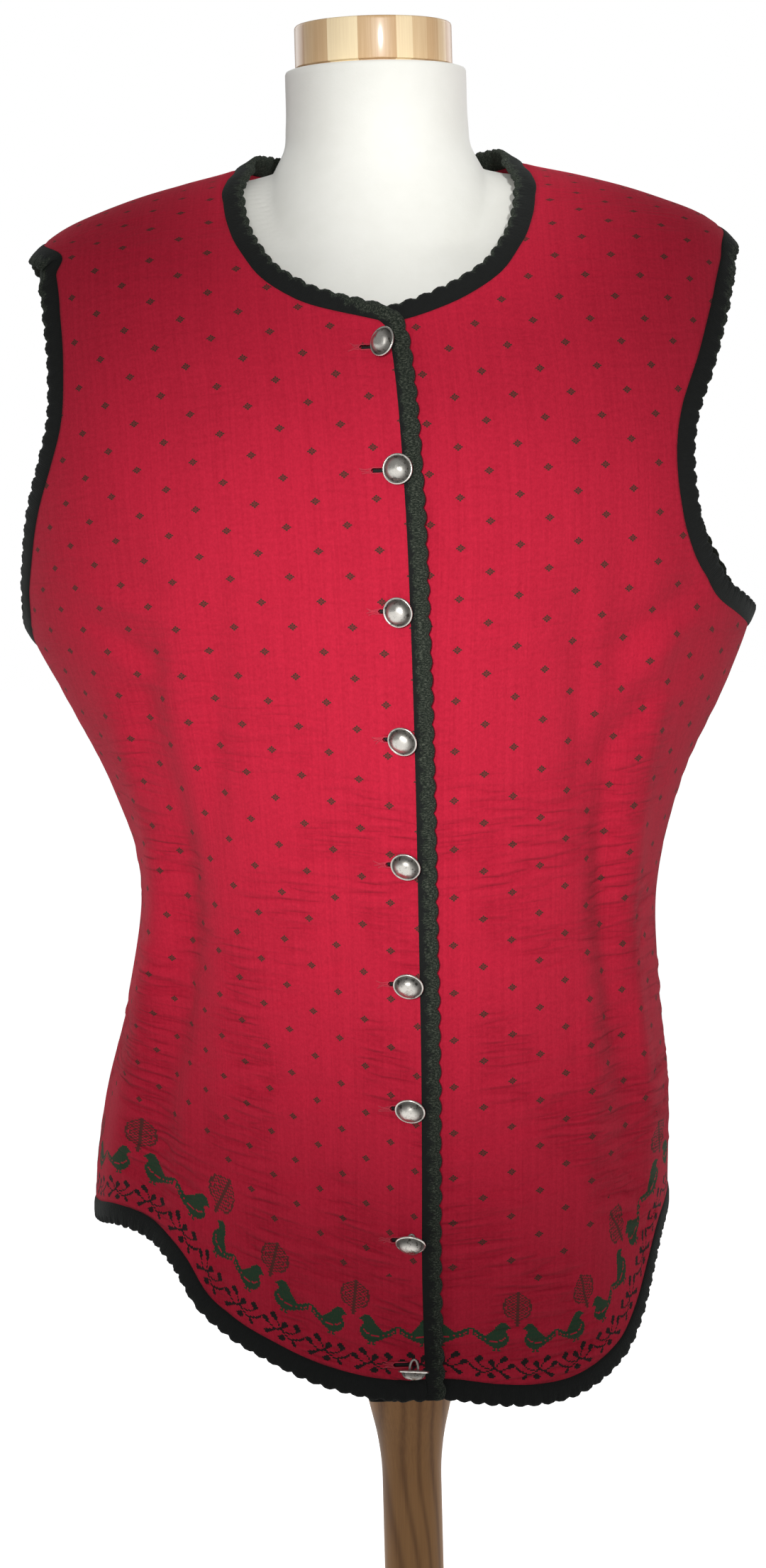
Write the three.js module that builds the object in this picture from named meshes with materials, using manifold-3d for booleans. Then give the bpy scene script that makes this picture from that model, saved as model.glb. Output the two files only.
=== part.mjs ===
// A sleeveless knit cardigan buttoned on a limbless dress form.
//
// Millimetres, +Z up. The form faces -Y, the wearer's right is at -X, and the origin is the middle
// of the stand's underside. Every cloth piece lies on one body surface, surface(angle, z): the angle
// is counted in degrees round the body from the centre front, positive towards the wearer's left.
// The panels are closed walls between that face and one a wall's thickness inside it, and the
// knitted edging is swept along the panels' own points.

import * as THREE from 'three';
import { mergeVertices } from 'three/addons/utils/BufferGeometryUtils.js';
import Module from 'manifold-3d';

// ---- Driving dimensions -------------------------------------------------------------------------

const WALL = 2;              // thickness of the knit
const SEAM_GAP = 0.3;        // between two pieces at a seam
const TRIM_WIDTH = 13;       // edging of the neck, armholes and hem
const BAND_WIDTH = 11;       // edging of the two front edges
const TRIM_HALF = 1.7;       // half the edging's thickness at its thickest
const ARM_FLARE = 0.18;      // how far the armhole edging leans out, per mm of its width
const LAP_RISE = 6;          // how far the right front stands proud of the left where it laps it
const LAP_FULL = 16;         // the lap is full to this distance from the right front's edge
const LAP_FADE = 58;         // and is gone at this distance
const LAP_DEPTH = 1.5;       // the left front's cloth goes this far under the right front's edge
const CORNER = 12;           // radius of the two fronts' top corners
const UNDERARM_Z = 970;
const SHOULDER_TIP_Z = 1225;
const NECK_POINT_Z = 1267.5;

const BUTTON_R = 9.4;
const SHANK_R = 1.5;
const BUTTON_INSET = 7;      // from the right front's edge to the buttons' line
const HOLE = { before: 8.5, after: 3.2, height: 3.8 };

const CLEARANCE = { front: 5.5, back: 5, lift: 3.5 };    // between the form and the cloth
const SEAT_END = 11;         // the form's shoulders leave the cloth this far below the neck's edge
const SEAT_FALL = 4;         // and do so by up to this much per mm of height
const TORSO = { bottom: 640, top: 1323 };
const CAP = { radius: 49.5, height: 34, edge: 8 };
const POLE_R = 19;
const BASE = { radius: 200, height: 26, edge: 6 };

// Half-widths of the worn cardigan to the wearer's right and left of the middle, its reach to the
// front and back, and the y of its widest line, by height.
const BODY = table(['z', 'right', 'left', 'front', 'back', 'widest'], [
  [505, 186, 164, 133, 112, 20],
  [560, 196, 168, 132, 113, 20],
  [620, 199, 170, 130, 113, 20],
  [680, 191, 172, 127, 110, 24],
  [740, 175, 168, 124, 104, 28],
  [810, 163, 168, 123, 97, 30],
  [880, 181, 187, 127, 98, 30],
  [940, 210, 216, 133, 103, 28],
  [985, 231, 232, 137, 106, 24],
  [1030, 234, 234, 139, 108, 18],
  [1080, 231, 231, 135, 108, 12],
  [1120, 228, 229, 127, 107, 10],
  [1150, 226, 228, 117, 105, 9],
  [1180, 224, 226, 104, 101, 8],
  [1200, 222, 224, 92, 98, 8],
  [1218, 216, 219, 76, 94, 8],
  [1226, 208, 211, 67, 92, 8],
  [1234, 195, 198, 58, 89, 8],
  [1242, 176, 178, 49, 86, 8],
  [1250, 153, 155, 40, 83, 8],
  [1258, 124, 126, 29, 79, 8],
  [1266, 92, 93, 16, 74, 8],
  [1274, 80, 82, 6, 70, 8],
]);
const ROUNDNESS = { low: 2.1, high: 2.5, from: 960, over: 120 };   // of the slices, by height

// Where the cloth ends and the edging starts. Angles are counted from the centre front.
const HEM = table(['angle', 'right', 'left'], [
  [0, 525, 525],
  [10, 527.5, 523.5],
  [20, 534, 518.5],
  [30, 546, 515.5],
  [40, 561.5, 517.5],
  [46, 576, 522.5],
  [50, 594, 527.5],
  [55, 608, 536.5],
  [60, 616, 554],
  [65, 620, 577],
  [70, 621, 595.5],
  [78, 618, 609],
  [90, 615, 615],
]);
const HEM_BACK = table(['angle', 'z'], [
  [90, 615],
  [102, 606],
  [112, 588],
  [122, 556],
  [132, 532],
  [145, 518],
  [160, 512],
  [180, 510],
]);
const NECK = table(['angle', 'z'], [
  [0, 1162],
  [13.4, 1169.5],
  [25.5, 1180],
  [35.2, 1193],
  [43.6, 1209.5],
  [53.9, 1228.5],
  [63.6, 1245],
  [72, 1256.5],
  [82.7, 1265],
  [90, NECK_POINT_Z],
  [105, 1267],
  [125, 1264],
  [150, 1260.5],
  [180, 1259],
]);
const ARMHOLE = table(['z', 'right', 'left', 'back'], [
  [UNDERARM_Z, 90, 90, 90],
  [974, 85.5, 83, 94],
  [985, 80.4, 71.5, 98],
  [1008, 76.6, 62.7, 102.5],
  [1030, 73.5, 58.9, 106],
  [1055, 70.7, 57.5, 108.5],
  [1080, 68, 57.9, 109.5],
  [1108, 66.3, 60.4, 109.5],
  [1140, 67.6, 66, 108],
  [1175, 71, 72.4, 105.5],
  [1200, 74.6, 77.6, 102],
  [1218, 79.6, 83.5, 96.5],
  [SHOULDER_TIP_Z, 90, 90, 90],
]);
// The x of the right front's edge, where its cloth ends and its band starts.
const FRONT_EDGE = table(['z', 'x'], [
  [505, 9.5],
  [590, 9],
  [650, 10.4],
  [720, 11.7],
  [800, 12.2],
  [890, 12.6],
  [975, 12.2],
  [1060, 10.6],
  [1132, 6.6],
  [1165, 3],
  [1200, 1],
]);

// Long soft folds: the angle of each one's line at its foot and its head, how wide and how deep it
// is (a valley is negative), and the heights that it runs between.
const FOLDS = [
  { foot: -61, head: -50, width: 17, depth: -8, low: 560, high: 1030 },
  { foot: -74, head: -60, width: 20, depth: 4, low: 540, high: 1000 },
  { foot: 59, head: 44, width: 15, depth: -7, low: 600, high: 1090 },
  { foot: 68, head: 51, width: 16, depth: 4, low: 600, high: 1060 },
  { foot: -44, head: -54, width: 24, depth: -4, low: 1040, high: 1200 },
  { foot: 118, head: 128, width: 20, depth: -6, low: 540, high: 1010 },
  { foot: 152, head: 158, width: 24, depth: -4, low: 520, high: 930 },
  { foot: 204, head: 200, width: 24, depth: -5, low: 520, high: 960 },
  { foot: 243, head: 231, width: 19, depth: -6, low: 560, high: 1030 },
];

// Each button's height, how far it has turned to the wearer's right and drooped, how far its eye
// stands off the left front's cloth, and how high its shank's foot is on the left front's band.
const BUTTONS = table(['z', 'turn', 'droop', 'reach', 'foot'], [
  [1152, 34, 0, 12.5, 1.1],
  [1076, 16, 4, 9.8, 1.05],
  [991.5, 20, 8, 10.5, 1.08],
  [915, 22, 15, 11, 1.1],
  [839, 18, 24, 12.2, 1.27],
  [766, 12, 32, 13.2, 1.22],
  [690.5, 12, 36, 13.6, 1.08],
  [611, 8, 50, 15, 1.06],
  [532.5, 4, 78, 17, 1.08],
]);
// Half a button, as radius and height over the eye's far side: a flat back, a rim and a dome.
const BUTTON_PROFILE = [
  [0, 0], [6, 0.3], [BUTTON_R, 1.4], [BUTTON_R, 2.4], [8, 3], [7.2, 4.2], [5.2, 6], [2.8, 7], [0, 7.4],
];

// The dress form: its own torso, and the neck that grows out of it.
const FIGURE = table(['z', 'half', 'front', 'back', 'widest'], [
  [640, 146, 88, 88, 10],
  [690, 156, 98, 92, 12],
  [760, 152, 98, 84, 16],
  [830, 143, 98, 78, 20],
  [900, 152, 108, 82, 20],
  [970, 166, 120, 90, 18],
  [1030, 174, 127, 94, 14],
  [1090, 177, 122, 96, 10],
  [1150, 181, 110, 96, 8],
  [1200, 187, 92, 94, 8],
  [1235, 191, 80, 92, 8],
  [1323, 191, 80, 92, 8],
]);
const NECK_COLUMN = table(['z', 'half', 'front', 'back'], [
  [1060, 50, 40, 50],
  [1130, 90, 84, 70],
  [1160, 100, 95, 76],
  [1180, 98, 91, 76],
  [1200, 93, 84, 75],
  [1220, 87, 76, 74],
  [1235, 81, 69, 73],
  [1248, 75, 63, 71],
  [1258, 69.5, 58, 69],
  [1268, 64, 54, 67],
  [1278, 59, 51.5, 65.5],
  [1292, 57.5, 50, 64.5],
  [1323, 57, 50, 64],
]);
const NECK_WIDEST = 8;       // y of the neck's widest line
const TORSO_ROWS = [
  TORSO.bottom, 652, 690, 740, 790, 840, 890, 940, 985, 1030, 1075, 1115, 1150, 1178, 1200, 1216,
  1228, 1236, 1242, 1248, 1254, 1260, 1266, 1274, 1286, TORSO.top,
];

// How finely the pieces are divided.
const ROWS = { skirt: 12, armhole: 13, shoulder: 5 };
const FRONT_COLUMNS = 9;
const CORNER_COLUMNS = 3;
const BACK_COLUMNS = 18;
const TORSO_COLUMNS = 32;
const BUTTON_SIDES = 12;

// ---- Finishes -----------------------------------------------------------------------------------

const finish = (color, roughness, metalness = 0) =>
  () => new THREE.MeshStandardMaterial({ color, roughness, metalness, side: THREE.DoubleSide });
const crimsonKnit = finish(0xb3142f, 0.95);
const blackEdging = finish(0x1c1f1c, 0.95);
const pewter = finish(0xa9a59b, 0.35, 1);
const formCloth = finish(0xe9e7de, 0.9);
const capWood = finish(0xd9ad70, 0.35);
const poleWood = finish(0xa9774a, 0.5);

// ---- Tables and curves --------------------------------------------------------------------------

/** Turns rows of numbers into a table that is read by its columns' names. */
function table(columns, rows) {
  return rows.map((row) => Object.fromEntries(columns.map((name, i) => [name, row[i]])));
}

/** Reads a column of a table at a key, on a smooth curve through its rows. */
function read(rows, key, column, at) {
  const last = rows.length - 1;
  const x = Math.min(Math.max(at, rows[0][key]), rows[last][key]);
  let i = 0;
  while (i < last - 1 && x > rows[i + 1][key]) i += 1;
  const step = (j) => rows[j + 1][key] - rows[j][key];
  const rise = (j) => (rows[j + 1][column] - rows[j][column]) / step(j);
  const slope = (j) => {
    if (j === 0) return rise(0);
    if (j === last) return rise(last - 1);
    return (step(j) * rise(j - 1) + step(j - 1) * rise(j)) / (step(j - 1) + step(j));
  };
  const h = step(i);
  const t = (x - rows[i][key]) / h;
  const s = 1 - t;
  return rows[i][column] * (1 + 2 * t) * s * s + slope(i) * h * t * s * s
    + rows[i + 1][column] * t * t * (3 - 2 * t) - slope(i + 1) * h * t * t * s;
}

const mix = (a, b, t) => a + (b - a) * t;
const clamp = (x, low, high) => Math.min(Math.max(x, low), high);
const smooth = (x) => {
  const t = clamp(x, 0, 1);
  return t * t * (3 - 2 * t);
};
const radians = THREE.MathUtils.degToRad;
const degrees = THREE.MathUtils.radToDeg;
const range = (count) => Array.from({ length: count }, (_, i) => i);

/** Distance from a slice's middle to its rounded outline at an angle. */
function outline(angle, half, depth, n) {
  const across = Math.abs(Math.sin(radians(angle))) / half;
  const along = Math.abs(Math.cos(radians(angle))) / depth;
  return (across ** n + along ** n) ** (-1 / n);
}

/** How far the folds push the cloth out at a point. */
function foldDepth(angle, z, radius) {
  return FOLDS.reduce((sum, fold) => {
    const t = (z - fold.low) / (fold.high - fold.low);
    if (t <= 0 || t >= 1) return sum;
    const turn = (((angle - mix(fold.foot, fold.head, t)) % 360) + 540) % 360 - 180;
    const away = radians(turn) * radius / fold.width;
    return sum + fold.depth * Math.exp(-away * away) * smooth(3 * t) * smooth(3 * (1 - t));
  }, 0);
}

/** Distance from the slice's middle to the cloth's outer face. */
function bodyRadius(angle, z) {
  const left = Math.sin(radians(angle)) > 0;
  const front = Math.cos(radians(angle)) > 0;
  const widest = read(BODY, 'z', 'widest', z);
  const depth = front ? read(BODY, 'z', 'front', z) + widest : read(BODY, 'z', 'back', z) - widest;
  const n = mix(ROUNDNESS.low, ROUNDNESS.high, smooth((z - ROUNDNESS.from) / ROUNDNESS.over));
  return outline(angle, read(BODY, 'z', left ? 'left' : 'right', z), depth, n);
}

/** The point of the cloth's outer face at an angle and height. */
function surface(angle, z) {
  const plain = bodyRadius(angle, z);
  const radius = plain + foldDepth(angle, z, plain);
  const a = radians(angle);
  return new THREE.Vector3(radius * Math.sin(a), read(BODY, 'z', 'widest', z) - radius * Math.cos(a), z);
}

/** The outward normal of the cloth's outer face. */
function surfaceNormal(angle, z) {
  const across = surface(angle + 0.3, z).sub(surface(angle - 0.3, z));
  const up = surface(angle, z + 0.5).sub(surface(angle, z - 0.5));
  return across.cross(up).normalize();
}

/** An angle's size from the centre front, whichever way round. */
const fromFront = (angle) => (angle > 180 ? 360 - angle : Math.abs(angle));

const edgeX = (z) => read(FRONT_EDGE, 'z', 'x', z);

/** How far the right front is lifted off the surface so that it laps the left one. */
function lapLift(point) {
  const away = edgeX(point.z) - point.x;
  return LAP_RISE * (1 - smooth((away - LAP_FULL) / (LAP_FADE - LAP_FULL)));
}

/** A point of a panel: its place and its normal, lifted where the panel laps another. */
function cloth(angle, z, lifted) {
  const p = surface(angle, z);
  const n = surfaceNormal(angle, z);
  if (lifted) p.addScaledVector(n, lapLift(p));
  return { p, n };
}

// ---- Closed shells ------------------------------------------------------------------------------

/** A closed mesh's geometry, with its faces turned outwards. */
function closed(points, triangles) {
  const volume = triangles.reduce((sum, [a, b, c]) =>
    sum + points[a].dot(points[b].clone().cross(points[c])), 0);
  const faces = volume < 0 ? triangles.map(([a, b, c]) => [a, c, b]) : triangles;
  const geometry = new THREE.BufferGeometry();
  geometry.setAttribute('position', new THREE.Float32BufferAttribute(points.flatMap((p) => p.toArray()), 3));
  geometry.setIndex(faces.flat());
  geometry.computeVertexNormals();
  return geometry;
}

/** A closed wall from a grid of points: the outer face, and the same grid a wall inside it. */
function wall(grid) {
  const rows = grid.length;
  const columns = grid[0].length;
  const outer = grid.flat().map(({ p }) => p);
  const inner = grid.flat().map(({ p, n }) => p.clone().addScaledVector(n, -WALL));
  const at = (i, j) => i * columns + j;
  const quads = [];
  for (let i = 0; i < rows - 1; i += 1) {
    for (let j = 0; j < columns - 1; j += 1) {
      quads.push([at(i, j), at(i, j + 1), at(i + 1, j + 1), at(i + 1, j)]);
    }
  }
  const rim = [
    ...range(columns).map((j) => at(0, j)),
    ...range(rows - 1).map((i) => at(i + 1, columns - 1)),
    ...range(columns - 1).map((j) => at(rows - 1, columns - 2 - j)),
    ...range(rows - 2).map((i) => at(rows - 2 - i, 0)),
  ];
  const under = outer.length;
  const triangles = quads.flatMap(([a, b, c, d]) => [
    [a, b, c], [a, c, d], [under + a, under + c, under + b], [under + a, under + d, under + c],
  ]);
  rim.forEach((a, i) => {
    const b = rim[(i + 1) % rim.length];
    triangles.push([a, under + a, b], [b, under + a, under + b]);
  });
  return closed([...outer, ...inner], triangles);
}

/** A closed strip through sections that have the same number of points. */
function loft(sections) {
  const sides = sections[0].length;
  const at = (i, j) => i * sides + (j % sides);
  const triangles = [];
  for (let i = 0; i < sections.length - 1; i += 1) {
    for (let j = 0; j < sides; j += 1) {
      triangles.push([at(i, j), at(i + 1, j), at(i, j + 1)], [at(i, j + 1), at(i + 1, j), at(i + 1, j + 1)]);
    }
  }
  const end = sections.length - 1;
  for (let j = 1; j < sides - 1; j += 1) {
    triangles.push([at(0, 0), at(0, j), at(0, j + 1)], [at(end, 0), at(end, j + 1), at(end, j)]);
  }
  return closed(sections.flat(), triangles);
}

// ---- Panels -------------------------------------------------------------------------------------

/** The heights of the rows on a side seam and shoulder seam, from the hem's height up. */
function seamHeights(hemZ) {
  const eased = (count, i) => (1 - Math.cos(Math.PI * i / count)) / 2;
  return [
    ...range(ROWS.skirt).map((i) => mix(hemZ, UNDERARM_Z, i / ROWS.skirt)),
    ...range(ROWS.armhole).map((i) => mix(UNDERARM_Z, SHOULDER_TIP_Z, eased(ROWS.armhole, i))),
    ...range(ROWS.shoulder + 1).map((i) => mix(SHOULDER_TIP_Z, NECK_POINT_Z, i / ROWS.shoulder)),
  ];
}

/** The height of a row on a column whose foot and head are at other heights than the seam's. */
function rowHeight(seamZ, hemSeamZ, footZ, headZ) {
  if (seamZ <= UNDERARM_Z) {
    return mix(footZ, UNDERARM_Z, (seamZ - hemSeamZ) / (UNDERARM_Z - hemSeamZ));
  }
  return mix(UNDERARM_Z, headZ, (seamZ - UNDERARM_Z) / (NECK_POINT_Z - UNDERARM_Z));
}

/** The angle that half a seam's gap takes at a height. */
const seamAngle = (z) => degrees(SEAM_GAP / 2 / bodyRadius(90, z));

/** The angle where a panel ends at its side: the side seam, the armhole or the shoulder seam. */
function sideAngle(column, z) {
  const inArmhole = z > UNDERARM_Z && z < SHOULDER_TIP_Z;
  const plain = inArmhole ? read(ARMHOLE, 'z', column, z) : 90;
  return plain + (column === 'back' ? 1 : -1) * seamAngle(z);
}

/** Where a column of a panel meets the neck's edge. The edge rises as the column's angle grows. */
function headHeight(angleAt, rising) {
  let low = rising ? 1100 : 1200;
  let high = NECK_POINT_Z;
  for (let i = 0; i < 30; i += 1) {
    const z = (low + high) / 2;
    if (read(NECK, 'angle', 'z', Math.abs(angleAt(z))) > z) low = z;
    else high = z;
  }
  return (low + high) / 2;
}

/** One front, as a grid of points from the front edge to the side. */
function frontGrid(isRight) {
  const sign = isRight ? -1 : 1;
  const side = isRight ? 'right' : 'left';
  const under = isRight ? 0 : LAP_DEPTH;
  const frontAngle = (z) => {
    const depth = read(BODY, 'z', 'front', z) + read(BODY, 'z', 'widest', z);
    return sign * degrees(Math.atan2(edgeX(z) - under, depth));
  };
  const angleAt = (u, z) => mix(frontAngle(z), sideAngle(side, z), u);
  const cornerU = CORNER / 290;
  const columns = [
    ...range(CORNER_COLUMNS).map((i) => cornerU * (1 - Math.cos(Math.PI / 2 * i / CORNER_COLUMNS))),
    ...range(FRONT_COLUMNS + 1).map((i) => mix(cornerU, 1, i / FRONT_COLUMNS)),
  ];
  const lines = columns.map((u) => {
    const neckZ = headHeight((z) => angleAt(u, z), true);
    const inCorner = clamp(1 - u / cornerU, 0, 1);
    const headZ = neckZ - CORNER * (1 - Math.sqrt(1 - inCorner * inCorner));
    let footZ = read(HEM, 'angle', side, Math.abs(sign * angleAt(u, 560)));
    for (let i = 0; i < 4; i += 1) footZ = read(HEM, 'angle', side, Math.abs(angleAt(u, footZ)));
    return { u, headZ, footZ };
  });
  const hemSeamZ = lines[lines.length - 1].footZ;
  return seamHeights(hemSeamZ).map((seamZ) => lines.map(({ u, headZ, footZ }) => {
    const z = rowHeight(seamZ, hemSeamZ, footZ, headZ);
    return cloth(sign * angleAt(u, z), z, isRight);
  }));
}

/** The back, as a grid of points from the wearer's left side to the right one. */
function backGrid() {
  const angleAt = (u, z) => {
    const half = mix(sideAngle('back', z), 180, 1 - Math.abs(1 - 2 * u));
    return u <= 0.5 ? half : 360 - half;
  };
  const lines = range(BACK_COLUMNS + 1).map((i) => {
    const u = i / BACK_COLUMNS;
    const headZ = read(NECK, 'angle', 'z', fromFront(angleAt(u, NECK_POINT_Z)));
    const footZ = read(HEM_BACK, 'angle', 'z', fromFront(angleAt(u, 560)));
    return { u, headZ, footZ };
  });
  const hemSeamZ = lines[0].footZ;
  return seamHeights(hemSeamZ).map((seamZ) => lines.map(({ u, headZ, footZ }) => {
    const z = rowHeight(seamZ, hemSeamZ, footZ, headZ);
    return cloth(angleAt(u, z), z, false);
  }));
}

// ---- Edging -------------------------------------------------------------------------------------

/** The edging's section for a width, as distance out from the panel's edge and height on it. */
function trimSection(width) {
  const middle = -WALL / 2;
  return [
    [SEAM_GAP, middle + 1.1], [width * 0.5, middle + TRIM_HALF], [width - 1, middle + 1.3],
    [width, middle], [width - 1, middle - 1.3], [width * 0.5, middle - TRIM_HALF],
    [SEAM_GAP, middle - 1.1],
  ];
}

const minus = (a, b) => a.clone().sub(b);

/**
 * Sweeps the edging along a panel's edge. Each stop is a point of the edge with the panel's next
 * point inwards; startOut and endOut give the way out where an edge ends at a seam, and the end
 * stops endGap short of it.
 */
function edging(stops, widthAt, { startOut, endOut, endGap = 0, flare = 0 } = {}) {
  const last = stops.length - 1;
  const sections = stops.map(({ at, inside }, i) => {
    const before = stops[Math.max(i - 1, 0)].at.p;
    const after = stops[Math.min(i + 1, last)].at.p;
    const along = minus(after, before).normalize();
    const given = (i === 0 && startOut) || (i === last && endOut);
    const out = given ? given.clone() : minus(at.p, inside.p);
    if (!given) out.addScaledVector(along, -out.dot(along));
    out.addScaledVector(at.n, -out.dot(at.n)).normalize();
    const p = at.p.clone().addScaledVector(along, i === last ? -endGap : 0);
    return trimSection(widthAt(i)).map(([w, h]) =>
      p.clone().addScaledVector(out, w).addScaledVector(at.n, h + flare * w));
  });
  return loft(sections);
}

const trimWide = () => TRIM_WIDTH;
const stopsOf = (edge, inside) => edge.map((at, i) => ({ at, inside: inside[i] }));
const column = (grid, j) => grid.map((row) => row[j]);

/** The band down a front's edge. It runs on past the cloth to cover the hem edging's end. */
function frontBand(grid) {
  const edge = column(grid, 0);
  const next = column(grid, 1);
  const down = minus(edge[0].p, edge[1].p).normalize();
  const foot = { p: edge[0].p.clone().addScaledVector(down, TRIM_WIDTH), n: edge[0].n };
  const inside = { p: next[0].p.clone().addScaledVector(down, TRIM_WIDTH), n: next[0].n };
  const stops = [{ at: foot, inside }, ...stopsOf(edge, next)];
  return edging(stops, () => BAND_WIDTH, { endGap: SEAM_GAP });
}

/** The hem's edging on a front, from the band to the side seam. */
function frontHem(grid) {
  const last = grid[0].length - 1;
  return edging(stopsOf(grid[0], grid[1]), trimWide, {
    startOut: minus(grid[0][0].p, grid[1][0].p),
    endOut: minus(grid[0][last].p, grid[1][last].p),
  });
}

/** The neck's edging on a front, round the corner and up to the shoulder seam. */
function frontNeck(grid) {
  const top = grid.length - 1;
  const last = grid[0].length - 1;
  const cornerOut = minus(grid[top][0].p, grid[top][1].p);
  const rise = minus(grid[top][0].p, grid[top - 1][0].p).normalize();
  cornerOut.addScaledVector(rise, -cornerOut.dot(rise));
  const width = (i) => mix(BAND_WIDTH, TRIM_WIDTH, smooth(i / (CORNER_COLUMNS + 2)));
  return edging(stopsOf(grid[top], grid[top - 1]), width, {
    startOut: cornerOut,
    endOut: minus(grid[top][last].p, grid[top - 1][last].p),
  });
}

/** The back's edging along a whole row, at the hem or the neck. */
function backRow(grid, row, inwards) {
  const last = grid[0].length - 1;
  const inside = grid[row + inwards];
  return edging(stopsOf(grid[row], inside), trimWide, {
    startOut: minus(grid[row][0].p, inside[0].p),
    endOut: minus(grid[row][last].p, inside[last].p),
  });
}

/** The armhole's edging on one panel, from the underarm to the shoulder's tip. */
function armholeEdging(grid, j, insideJ) {
  const first = ROWS.skirt;
  const end = ROWS.skirt + ROWS.armhole;
  const edge = column(grid, j);
  const stops = stopsOf(edge, column(grid, insideJ)).slice(first, end + 1);
  return edging(stops, trimWide, {
    startOut: minus(edge[first].p, edge[first - 1].p),
    endOut: minus(edge[end].p, edge[end + 1].p),
    flare: ARM_FLARE,
  });
}

// ---- Solids joined and cut ----------------------------------------------------------------------

const wasm = await Module();
wasm.setup();

/** A closed geometry as a solid that can be joined and cut. */
function solid(geometry) {
  const bare = geometry.clone();
  ['normal', 'uv'].forEach((name) => bare.deleteAttribute(name));
  const merged = mergeVertices(bare, 1e-4);
  return new wasm.Manifold(new wasm.Mesh({
    numProp: 3,
    vertProperties: new Float32Array(merged.attributes.position.array),
    triVerts: new Uint32Array(merged.index.array),
  }));
}

/** A solid as a geometry. */
function geometryOf(manifold) {
  const { vertProperties, triVerts } = manifold.getMesh();
  const geometry = new THREE.BufferGeometry();
  geometry.setAttribute('position', new THREE.BufferAttribute(Float32Array.from(vertProperties), 3));
  geometry.setIndex(Array.from(triVerts));
  geometry.computeVertexNormals();
  return geometry;
}

// ---- Buttons and their holes --------------------------------------------------------------------

/** Where a button goes through the fronts: the point, its normal and the way across the cloth. */
function buttonSeat(z) {
  const depth = read(BODY, 'z', 'front', z) + read(BODY, 'z', 'widest', z);
  const angle = degrees(Math.atan2(edgeX(z) - BUTTON_INSET, depth));
  const { p, n } = cloth(angle, z, false);
  const across = new THREE.Vector3(1, 0, 0).addScaledVector(n, -n.x).normalize();
  const up = new THREE.Vector3().crossVectors(n, across).normalize();
  return { p, n, across, up };
}

/** A geometry modelled along +Z, set with that axis along n and +X across the cloth. */
function seated(geometry, { p, n, across, up }) {
  return geometry.applyMatrix4(new THREE.Matrix4().makeBasis(across, up, n).setPosition(p));
}

/** One domed button: a shank out of the left front, and the head turned on the shank's end. */
function button({ z, turn, droop, reach, foot }) {
  const seat = buttonSeat(z);
  const inHead = reach + 0.8;
  const shank = new THREE.CylinderGeometry(SHANK_R, SHANK_R, inHead - foot, 8)
    .rotateX(Math.PI / 2).translate(0, 0, (inHead + foot) / 2);
  const profile = BUTTON_PROFILE.map(([r, h]) => new THREE.Vector2(r, h));
  const head = new THREE.LatheGeometry(profile, BUTTON_SIDES).rotateX(Math.PI / 2)
    .rotateY(-radians(turn)).rotateX(radians(droop)).translate(0, 0, reach);
  return geometryOf(solid(seated(shank, seat)).add(solid(seated(head, seat))));
}

/** The right front with its nine buttonholes cut through. */
function buttonholed(geometry) {
  const cut = BUTTONS.reduce((left, { z }) => {
    const length = HOLE.before + HOLE.after;
    const slot = new THREE.BoxGeometry(length, HOLE.height, 6 * WALL)
      .translate((HOLE.after - HOLE.before) / 2, 0, LAP_RISE - WALL / 2);
    return left.subtract(solid(seated(slot, buttonSeat(z))));
  }, solid(geometry));
  return geometryOf(cut);
}

// ---- The dress form -----------------------------------------------------------------------------

const smoothLess = (a, b, k) => {
  const t = clamp(0.5 + (b - a) / (2 * k), 0, 1);
  return mix(b, a, t) - k * t * (1 - t);
};
const smoothMore = (a, b, k) => -smoothLess(-a, -b, k);

/** Distance from the form's middle line to its surface: a torso under the cloth, and a neck. */
function formRadius(angle, z) {
  const front = Math.cos(radians(angle)) > 0;
  const depthOf = (rows, middle) =>
    (front ? read(rows, 'z', 'front', z) + middle : read(rows, 'z', 'back', z) - middle);
  const widest = read(FIGURE, 'z', 'widest', z);
  const figure = outline(angle, read(FIGURE, 'z', 'half', z), depthOf(FIGURE, widest), 2.2);
  const clear = Math.abs(Math.cos(radians(angle))) * (front ? CLEARANCE.front : CLEARANCE.back);
  const seatTop = read(NECK, 'angle', 'z', fromFront(angle)) - SEAT_END;
  const fall = SEAT_FALL * Math.sin(radians(angle)) ** 4 * Math.max(z - seatTop, 0);
  const cover = Math.min(bodyRadius(angle, z + CLEARANCE.lift), bodyRadius(-angle, z + CLEARANCE.lift));
  const torso = smoothLess(cover - clear - fall, figure, 5);
  const neck = outline(angle, read(NECK_COLUMN, 'z', 'half', z), depthOf(NECK_COLUMN, NECK_WIDEST), 2);
  return smoothMore(torso, neck, 6);
}

function torso() {
  const sections = TORSO_ROWS.map((z, i) => range(TORSO_COLUMNS).map((j) => {
    const angle = 360 * j / TORSO_COLUMNS;
    const inset = i === 0 ? 10 : 0;
    const radius = formRadius(angle, z) - inset;
    const a = radians(angle);
    return new THREE.Vector3(radius * Math.sin(a), read(FIGURE, 'z', 'widest', z) - radius * Math.cos(a), z);
  }));
  return loft(sections);
}

/** A turned piece from its half-profile, standing on +Z. */
function turned(points, sides, x = 0, y = 0) {
  const profile = points.map(([r, z]) => new THREE.Vector2(r, z));
  return new THREE.LatheGeometry(profile, sides).rotateX(Math.PI / 2).translate(x, y, 0);
}

/** A disc's half-profile with rounded edges. */
function discProfile(radius, low, high, lowEdge, highEdge) {
  const arc = (edge, middleZ, from) => range(4).map((i) => {
    const a = radians(from + 30 * i);
    return [radius - edge + edge * Math.cos(a), middleZ + edge * Math.sin(a)];
  });
  return [[0, low], ...arc(lowEdge, low + lowEdge, -90), ...arc(highEdge, high - highEdge, 0), [0, high]];
}

// ---- The object ---------------------------------------------------------------------------------

const object = new THREE.Group();

function add(name, geometry, material) {
  const mesh = new THREE.Mesh(geometry, material());
  mesh.name = name;
  object.add(mesh);
}

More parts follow.
